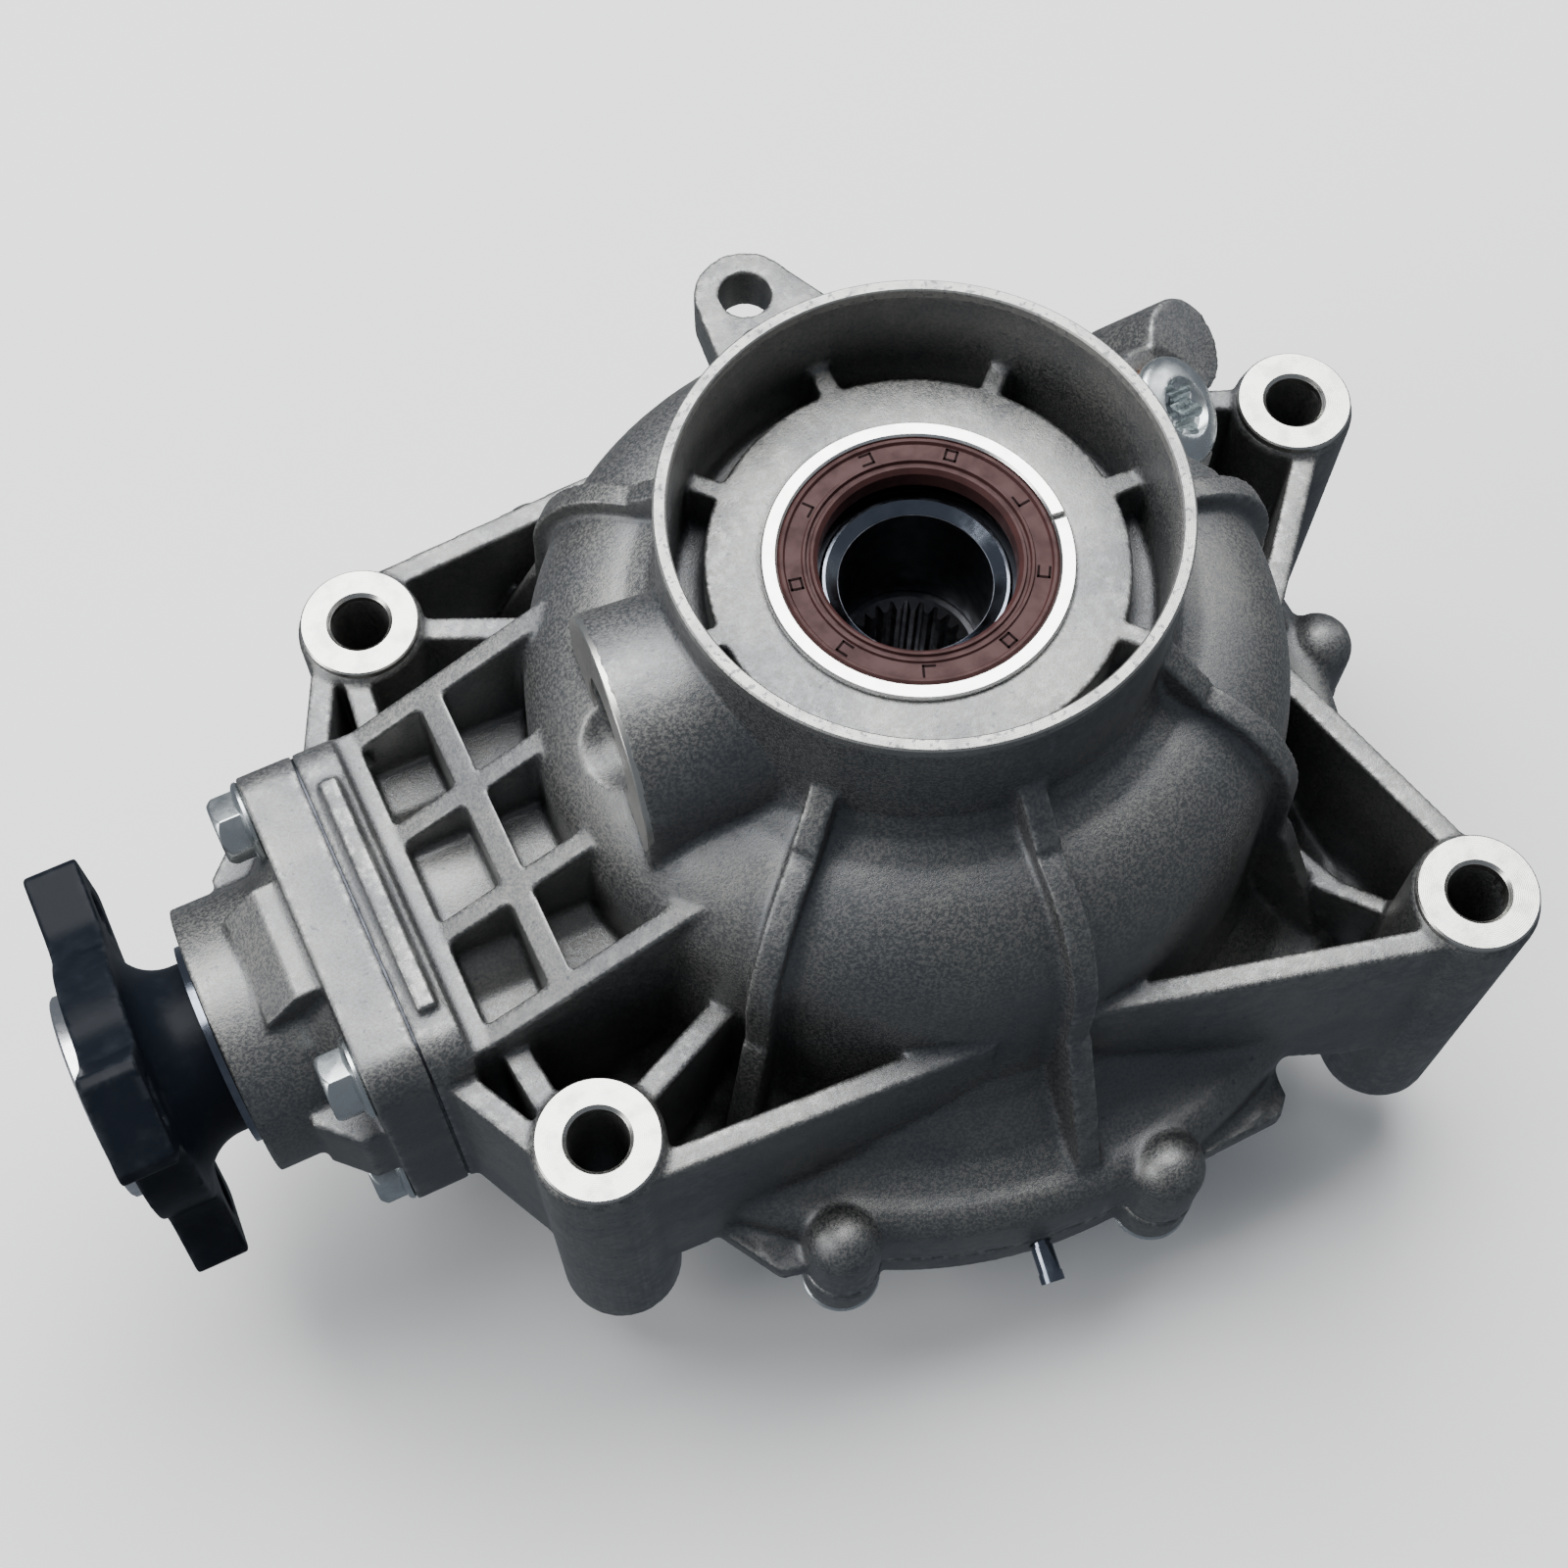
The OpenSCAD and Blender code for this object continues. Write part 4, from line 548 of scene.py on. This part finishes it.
def housingFlats(x, y, z):
    # flat machined faces, rubbed only along themselves
    r = np.hypot(x, y)
    return {"x": (np.abs(x - noseFace) < 1.5) & (np.abs(y) < 40),
            "z": ((np.abs(z - joint) < 1.5) & (r > 85) & (r < 108)) | ((r < 47) & (z > collarTop - 2.2))}


def housingRoom(x, y, z):
    # inside of the dome, which nobody sees
    r = np.hypot(x, y)
    shoulder = np.hypot(np.maximum(r - 47, 0), z - 118) < 23
    return ((r < 70) & (z < 118) | (shoulder & (z >= 118))) & (z > joint - 2) | (
        (np.hypot(y, z - pinionZ) < 24) & (x < 0) & (x > noseFace + 2))


housingCasting = castCopy("housingCasting", "main_housing", housing, housingSaddles(), housingCuts(),
                          housingFlats, housingRoom, housingSoft)
finishPiece(housingCasting, "housing", "cast_aluminium", finishes["cast"], "main_housing")

cover = {"voxel": 0.7, "rub": 4, "filletPasses": 4, "filletRub": 5, "innerLimit": 0.022,
         "hiddenRatio": 0.2, "triangles": 110000}


def coverCuts():
    return [place(prism("collarEnd", 96, collar["cutter"], cutDepth), at(0, 0, collar["band"] - cutDepth)),
            place(prism("sealSeat", 96, sealRing["cutter"], cutDepth),
                  at(0, 0, lowSealFace + sealRing["sunk"] - cutDepth))]


def coverFlats(x, y, z):
    r = np.hypot(x, y)
    return {"z": ((np.abs(z - joint) < 2) & (r > 80)) | ((r < 47) & (r > 43) & (z < 2.2))}


def coverRoom(x, y, z):
    r = np.hypot(x, y)
    return (r < 86) & (z > 30) & (z < joint + 1)


coverCasting = castCopy("coverCasting", "side_cover", cover, cuts=coverCuts(), flats=coverFlats,
                        hidden=coverRoom)
finishPiece(coverCasting, "housing", "cast_aluminium", finishes["cast"], "side_cover")

retainer = {"voxel": 0.45, "rub": 5, "filletPasses": 5, "filletRub": 6, "innerLimit": 0.022,
            "triangles": 90000}


def retainerFlats(x, y, z):
    return {"x": np.abs(x - high("retainer_shim").x + 0.4) < 1.2}


retainerCasting = castCopy("retainerCasting", "pinion_retainer", retainer, flats=retainerFlats)
finishPiece(retainerCasting, "housing", "cast_aluminium", finishes["cast"], "pinion_retainer")

driveFlange = {"voxel": 0.45, "rub": 8, "filletPasses": 8, "filletRub": 8, "innerLimit": 0.015,
               "triangles": 80000}
pilot = {"outer": 20.9, "bore": 16.8, "depth": 4.5, "shown": 3.2, "edge": 0.5, "cutter": 24, "cut": 8}
pilotCut = place(prism("pilotCut", 64, pilot["cutter"], pilot["cut"]),
                 facing((flangeFront + pilot["shown"], 0, pinionZ), (-1, 0, 0)))
arms = {"count": 3, "half": 10.5, "hub": 27, "bore": 18, "fillet": 12, "front": -3.1, "back": -13.9}
onFlange = Matrix(((0, 0, -1, flangeFront * mm), (1, 0, 0, 0), (0, -1, 0, pinionZ * mm), (0, 0, 0, 1)))


def armWebs():
    # hub disc, and a hollow fillet on both sides of each arm
    thick = arms["front"] - arms["back"]
    y = arms["half"] + arms["fillet"]
    x = math.sqrt((arms["hub"] + arms["fillet"]) ** 2 - y ** 2)
    web = block("armWeb", x, y, thick, (x / 2, y / 2, arms["back"] + thick / 2))
    editAll(web)
    bpy.ops.mesh.bisect(plane_co=(0, 0, 0), plane_no=Vector((-y, x, 0)).normalized(), use_fill=True,
                        clear_outer=True)
    bpy.ops.object.mode_set(mode="OBJECT")
    cut(web, place(prism("hollow", 96, arms["fillet"], thick + 4, arms["back"] - 2), at(x, y, 0)))
    cut(web, prism("webBore", 96, arms["bore"], thick + 4, arms["back"] - 2))
    turns = [Matrix.Rotation(math.tau * i / arms["count"], 4, "Z") for i in range(arms["count"])]
    webs = copies("armWebs", web, [turn @ Matrix.Scale(side, 4, (0, 1, 0)) for turn in turns for side in (1, -1)])
    editAll(webs)
    bpy.ops.mesh.normals_make_consistent(inside=False)
    bpy.ops.object.mode_set(mode="OBJECT")
    disc = turned("hubDisc", [[arms["hub"], arms["back"]], [arms["hub"], arms["front"]],
                              [arms["bore"], arms["front"]], [arms["bore"], arms["back"]]])
    return [place(webs, onFlange), place(disc, onFlange)]


driveFlangeBody = castCopy("driveFlange", "input_flange", driveFlange, armWebs(), [pilotCut])
finishPiece(driveFlangeBody, "pinion", "black_steel", finishes["coat"], "input_flange")
print("castings done")


# machined faces that stand on the castings


def faceRing(name, outer, bore, depth, edge, boreEdge=0.0, steps=64):
    # ring with its face at the origin, going down, with both edges broken
    inner = [[bore, -boreEdge], [bore + boreEdge, 0]] if boreEdge else [[bore, 0]]
    ring = turned(name, [[outer - edge, 0], [outer, -edge], [outer, -depth], [bore, -depth]] + inner, steps)
    smoothBelow(ring, 30)
    return ring


turnedOver = Matrix.Rotation(math.pi, 4, "X")



for i, (x, y) in enumerate(bossPlaces):
    name = f"bossFace{i + 1}"
    ring = faceRing(name, bossFace["outer"], bossFace["bore"], bossFace["depth"], bossFace["edge"],
                    bossFace["boreEdge"])
    pair = copies(name, ring, [at(x, y, bossTop), at(x, y, bossEnd) @ turnedOver])
    finishPiece(pair, "housing", "cast_aluminium", machinedAluminium(name + "Metal", (x, y), 0.27))

notchTurn = math.radians(-7)
ring = faceRing("sealRings", sealRing["outer"], sealRing["inner"], sealRing["depth"], sealRing["edge"], 0.4, 128)
notch = block("notch", 5, 1.4, 9)
cut(ring, place(notch, Matrix.Rotation(notchTurn, 4, "Z") @ at(27.2, 0, 0)))
ring = copies("sealRings", ring, [at(0, 0, sealFace), at(0, 0, lowSealFace) @ turnedOver])
finishPiece(ring, "housing", "cast_aluminium", finishes["sealRing"])

ring = faceRing("collarRims", collar["outer"], collar["inner"], collar["band"] + 1, collar["edge"], 0.3, 160)
ring = copies("collarRims", ring, [at(0, 0, collarTop), turnedOver])
finishPiece(ring, "housing", "cast_aluminium", finishes["collar"])

ring = faceRing("portRing", port["outer"], port["bore"], 1.2, 0.2, 0.3)
ring = place(ring, facing(port["face"], port["axis"]))
finishPiece(ring, "housing", "cast_aluminium", finishes["machined"])

lug = {"angles": (-130, -69), "circle": 99.5, "rise": 6.9}
lugShape = [[3.3, -1.5], [3.3, -0.15], [3.1, 0.1], [2.5, 0.1], [2.35, -0.15], [1.9, -0.15], [1.7, 0]]
lugPads = copies("lugPads", turned("lugPads", lugShape, 40, closed=False),
                 [Matrix.Rotation(math.radians(a), 4, "Z") @ at(lug["circle"], 0, joint + lug["rise"])
                  for a in lug["angles"]])
finishPiece(lugPads, "housing", "cast_aluminium", finishes["cast"])

journalTop = high("differential_case").z
journalShape = [[17.3, -0.4], [17.3, 1.2], [16.8, 1.6], [16.3, 1.6], [14.1, 0.1], [14.1, -0.4]]
ring = turned("journalRing", journalShape, 128)
smoothBelow(ring, 30)
finishPiece(place(ring, at(0, 0, journalTop)), "carrier", "bearing_steel", finishes["chrome"])

ring = faceRing("pilotRing", pilot["outer"], pilot["bore"], pilot["depth"], pilot["edge"], 0.4, 96)
ring = place(ring, facing((flangeFront, 0, pinionZ), (-1, 0, 0)))
finishPiece(ring, "pinion", "bright_steel", finishes["bright"])
print("machined faces done")


# axle seals

sealShape = [[24.95, -7.9], [24.95, -0.85], [24.45, -0.25], [23.95, -0.3], [23.6, -0.9], [20.75, -0.9],
             [20.5, -0.45], [20.05, -0.45], [19.8, -1.15], [19.35, -1.15], [19.1, -0.6], [18.6, -0.65],
             [17.85, -1.6], [17.7, -5.0], [18.4, -5.6], [20.6, -3.4], [23.4, -3.4], [23.4, -7.9]]
sealMark = {"count": 9, "radius": 22.2, "size": 2.0, "line": 0.42, "level": -0.88, "tall": 0.16}


def sealMarks():
    # small squares, angles and open squares moulded round the face, built as thin strips whose dark colour is
    # painted shade of the recessed marks
    made = []
    half = sealMark["size"] / 2
    sides = [(0, half, True), (-half, 0, False), (0, -half, True), (half, 0, False)]
    for i in range(sealMark["count"]):
        turnAngle = i * 360 / sealMark["count"] + 8
        for u, v, flat in sides[:(2, 4, 3)[i % 3]]:
            long = sealMark["size"] + sealMark["line"]
            size = (long, sealMark["line"]) if flat else (sealMark["line"], long)
            stroke = block("stroke", *size, sealMark["tall"], (0, 0, sealMark["level"]))
            made.append(place(stroke, Matrix.Rotation(math.radians(turnAngle), 4, "Z")
                              @ at(sealMark["radius"], 0, 0, 90) @ at(u, v, 0)))
    return join("sealMarks", made)


body = turned("axleSeal", sealShape, 128)
smoothBelow(body, 28)
marks = sealMarks()
sides = {"upper": at(0, 0, sealFace), "lower": at(0, 0, lowSealFace) @ turnedOver}
for side, matrix in sides.items():
    finishPiece(place(newObject(side + "Seal", body.data), matrix), "housing", "brown_rubber",
                finishes["brown"], side + "_axle_seal")
    # the marks carry painted shade of their recesses
    finishPiece(place(newObject(side + "SealMarks", marks.data), matrix), "housing", "brown_rubber",
                finishes["paintedMarkShade"])
bpy.data.objects.remove(body)
bpy.data.objects.remove(marks)
print("seals done")


# filler plug with a six-lobe socket

plug = {"head": 11, "edge": 1.6, "dome": 4.4, "recess": 6.1, "floor": -2.5, "seat": (67.2, 22, 130),
        "axis": (0.507, -0.394, 0.766), "washer": 1.5, "thread": 11.7, "length": 14,
        "socket": 3.9, "lobe": 1.5, "lobeCircle": 4.2, "lobes": 6, "socketDepth": 9}
dome = [[plug["head"] * math.cos(t), plug["edge"] + (plug["dome"] - plug["edge"]) * math.sin(t)]
        for t in [math.radians(10 * i) for i in range(9)]]
head = turned("fillerPlug", [[plug["head"] - 0.5, 0], [plug["head"], 0.5]] + dome, 96, closed=False)
shank = turned("plugShank", [[plug["thread"] / 2, 0.5], [plug["thread"] / 2, -plug["length"] + 1],
                             [plug["thread"] / 2 - 1, -plug["length"]]], 48, closed=False)
cut(head, shank, "UNION")
cut(head, turned("recess", [[plug["recess"] - 0.9, 2.6], [plug["recess"], 3.6], [plug["recess"] + 0.6, 6]],
                 64, closed=False))
cut(head, prism("socket", 48, plug["socket"], plug["socketDepth"], plug["floor"]))
for i in range(plug["lobes"]):
    lobe = prism("lobe", 24, plug["lobe"], plug["socketDepth"], plug["floor"])
    cut(head, place(lobe, at(0, 0, 0, 360 / plug["lobes"] * i) @ at(plug["lobeCircle"], 0, 0)))
soften(head, 0.15, 2, 38)
head = place(head, facing(plug["seat"], plug["axis"]) @ at(0, 0, plug["washer"]))
finishPiece(head, "housing", "zinc_steel", finishes["zinc"], "fill_plug")
print("filler plug done")


# bolts

bolt = {"across": 12, "head": 7, "flange": 8, "thread": 7.8, "dish": 3.4, "noseLength": 22, "jointLength": 24,
        "noseHalf": 28}


def hexHead(across, height):
    head = prism("head", 6, across / 2 / math.cos(math.radians(30)), height)
    wide = across * 0.72
    cone = turned("cone", [[wide, -0.5], [wide, height * 0.55], [across * 0.47, height + 0.01]], 64,
                  closed=False)
    cut(head, cone, "INTERSECT")
    return head


def flangeBolt(name, length):
    head = hexHead(bolt["across"], bolt["head"])
    cut(head, turned("dish", [[bolt["dish"] - 0.6, bolt["head"] - 0.8], [bolt["dish"], bolt["head"] + 1]],
                     48, closed=False))
    soften(head, 0.25)
    washer = turned("washer", [[bolt["flange"] - 0.35, 0], [bolt["flange"], 0.35], [bolt["flange"], 0.9],
                               [bolt["flange"] - 0.4, 1.3], [6.2, 1.9], [5.0, 2.4]], 64, closed=False)
    shank = turned("shank", [[bolt["thread"] / 2, 0.5], [bolt["thread"] / 2, -length + 1],
                             [bolt["thread"] / 2 - 1, -length]], 32, closed=False)
    for part in (washer, shank):
        smoothBelow(part, smoothAngle)
    return join(name, [head, washer, shank])


retainerSeat = low("retainer_bolts").x + bolt["head"]
half = bolt["noseHalf"]
spots = [(retainerSeat, u * half, pinionZ + v * half) for u in (-1, 1) for v in (-1, 1)]
noseBolts = copies("noseBolts", flangeBolt("noseBolt", bolt["noseLength"]),
                   [facing(p, (-1, 0, 0)) @ at(0, 0, 0, 17 + 31 * i) for i, p in enumerate(spots)])
finishPiece(noseBolts, "housing", "zinc_steel", finishes["zinc"], "retainer_bolts")

coverSeat = low("cover_bolts").z + bolt["head"]
jointBolts = copies("jointBolts", flangeBolt("jointBolt", bolt["jointLength"]),
                    [at(coverBoltCircle * math.cos(math.radians(a)),
                        coverBoltCircle * math.sin(math.radians(a)), coverSeat, a * 1.7) @ turnedOver
                     for a in coverAngles])
finishPiece(jointBolts, "housing", "zinc_steel", finishes["zinc"], "cover_bolts")
print("bolts done")


# camera, floor and lights

view = {"place": (-117.6, -183.5, 539.5), "right": (0.90206, -0.43152, 0.00836),
        "down": (-0.3898, -0.823, -0.4131), "forward": (0.18519, 0.36949, -0.91060), "lens": 56.77}
camera = bpy.data.objects.new("camera", bpy.data.cameras.new("camera"))
bpy.context.scene.collection.objects.link(camera)
columns = [Vector(view["right"]), -Vector(view["down"]), -Vector(view["forward"])]
turn = Matrix(columns).transposed().to_4x4()
camera.matrix_world = Matrix.Translation(Vector(view["place"]) * mm) @ turn
camera.data.lens = view["lens"]
camera.data.sensor_width = 36
camera.data.clip_start = 0.01
bpy.context.scene.camera = camera

deselect()
bpy.ops.mesh.primitive_plane_add(size=6)
floor = bpy.context.object
floor.name = "floor"
floor.visible_glossy = False
paleFloor = Finish("paleFloor", Roughness=0.7, Metallic=0.0)
paleFloor.set(Base_Color=(0.96, 0.96, 0.95, 1))
floor.data.materials.append(paleFloor.material)

softLights = [
    {"name": "topSoftbox", "place": (0.05, 0.55, 1.3), "size": (1.5, 1.0), "power": 44},
    {"name": "leftSoftbox", "place": (-1.3, 0.1, 0.7), "size": (0.5, 0.9), "power": 10},
    {"name": "rightSoftbox", "place": (1.3, 0.2, 0.8), "size": (0.5, 0.9), "power": 4},
]
aim = Vector((0, 0, 0.08))
for light in softLights:
    lamp = bpy.data.lights.new(light["name"], "AREA")
    lamp.shape = "RECTANGLE"
    lamp.size, lamp.size_y = light["size"]
    lamp.energy = light["power"]
    stand = bpy.data.objects.new(light["name"], lamp)
    bpy.context.scene.collection.objects.link(stand)
    spot = Vector(light["place"])
    stand.matrix_world = Matrix.Translation(spot) @ (aim - spot).to_track_quat("-Z", "Y").to_matrix().to_4x4()

world = bpy.data.worlds.new("studio")
bpy.context.scene.world = world
world.use_nodes = True
world.node_tree.nodes["Background"].inputs["Color"].default_value = (0.80, 0.88, 1.0, 1)
world.node_tree.nodes["Background"].inputs["Strength"].default_value = 0.22
print("camera, floor and lights set")
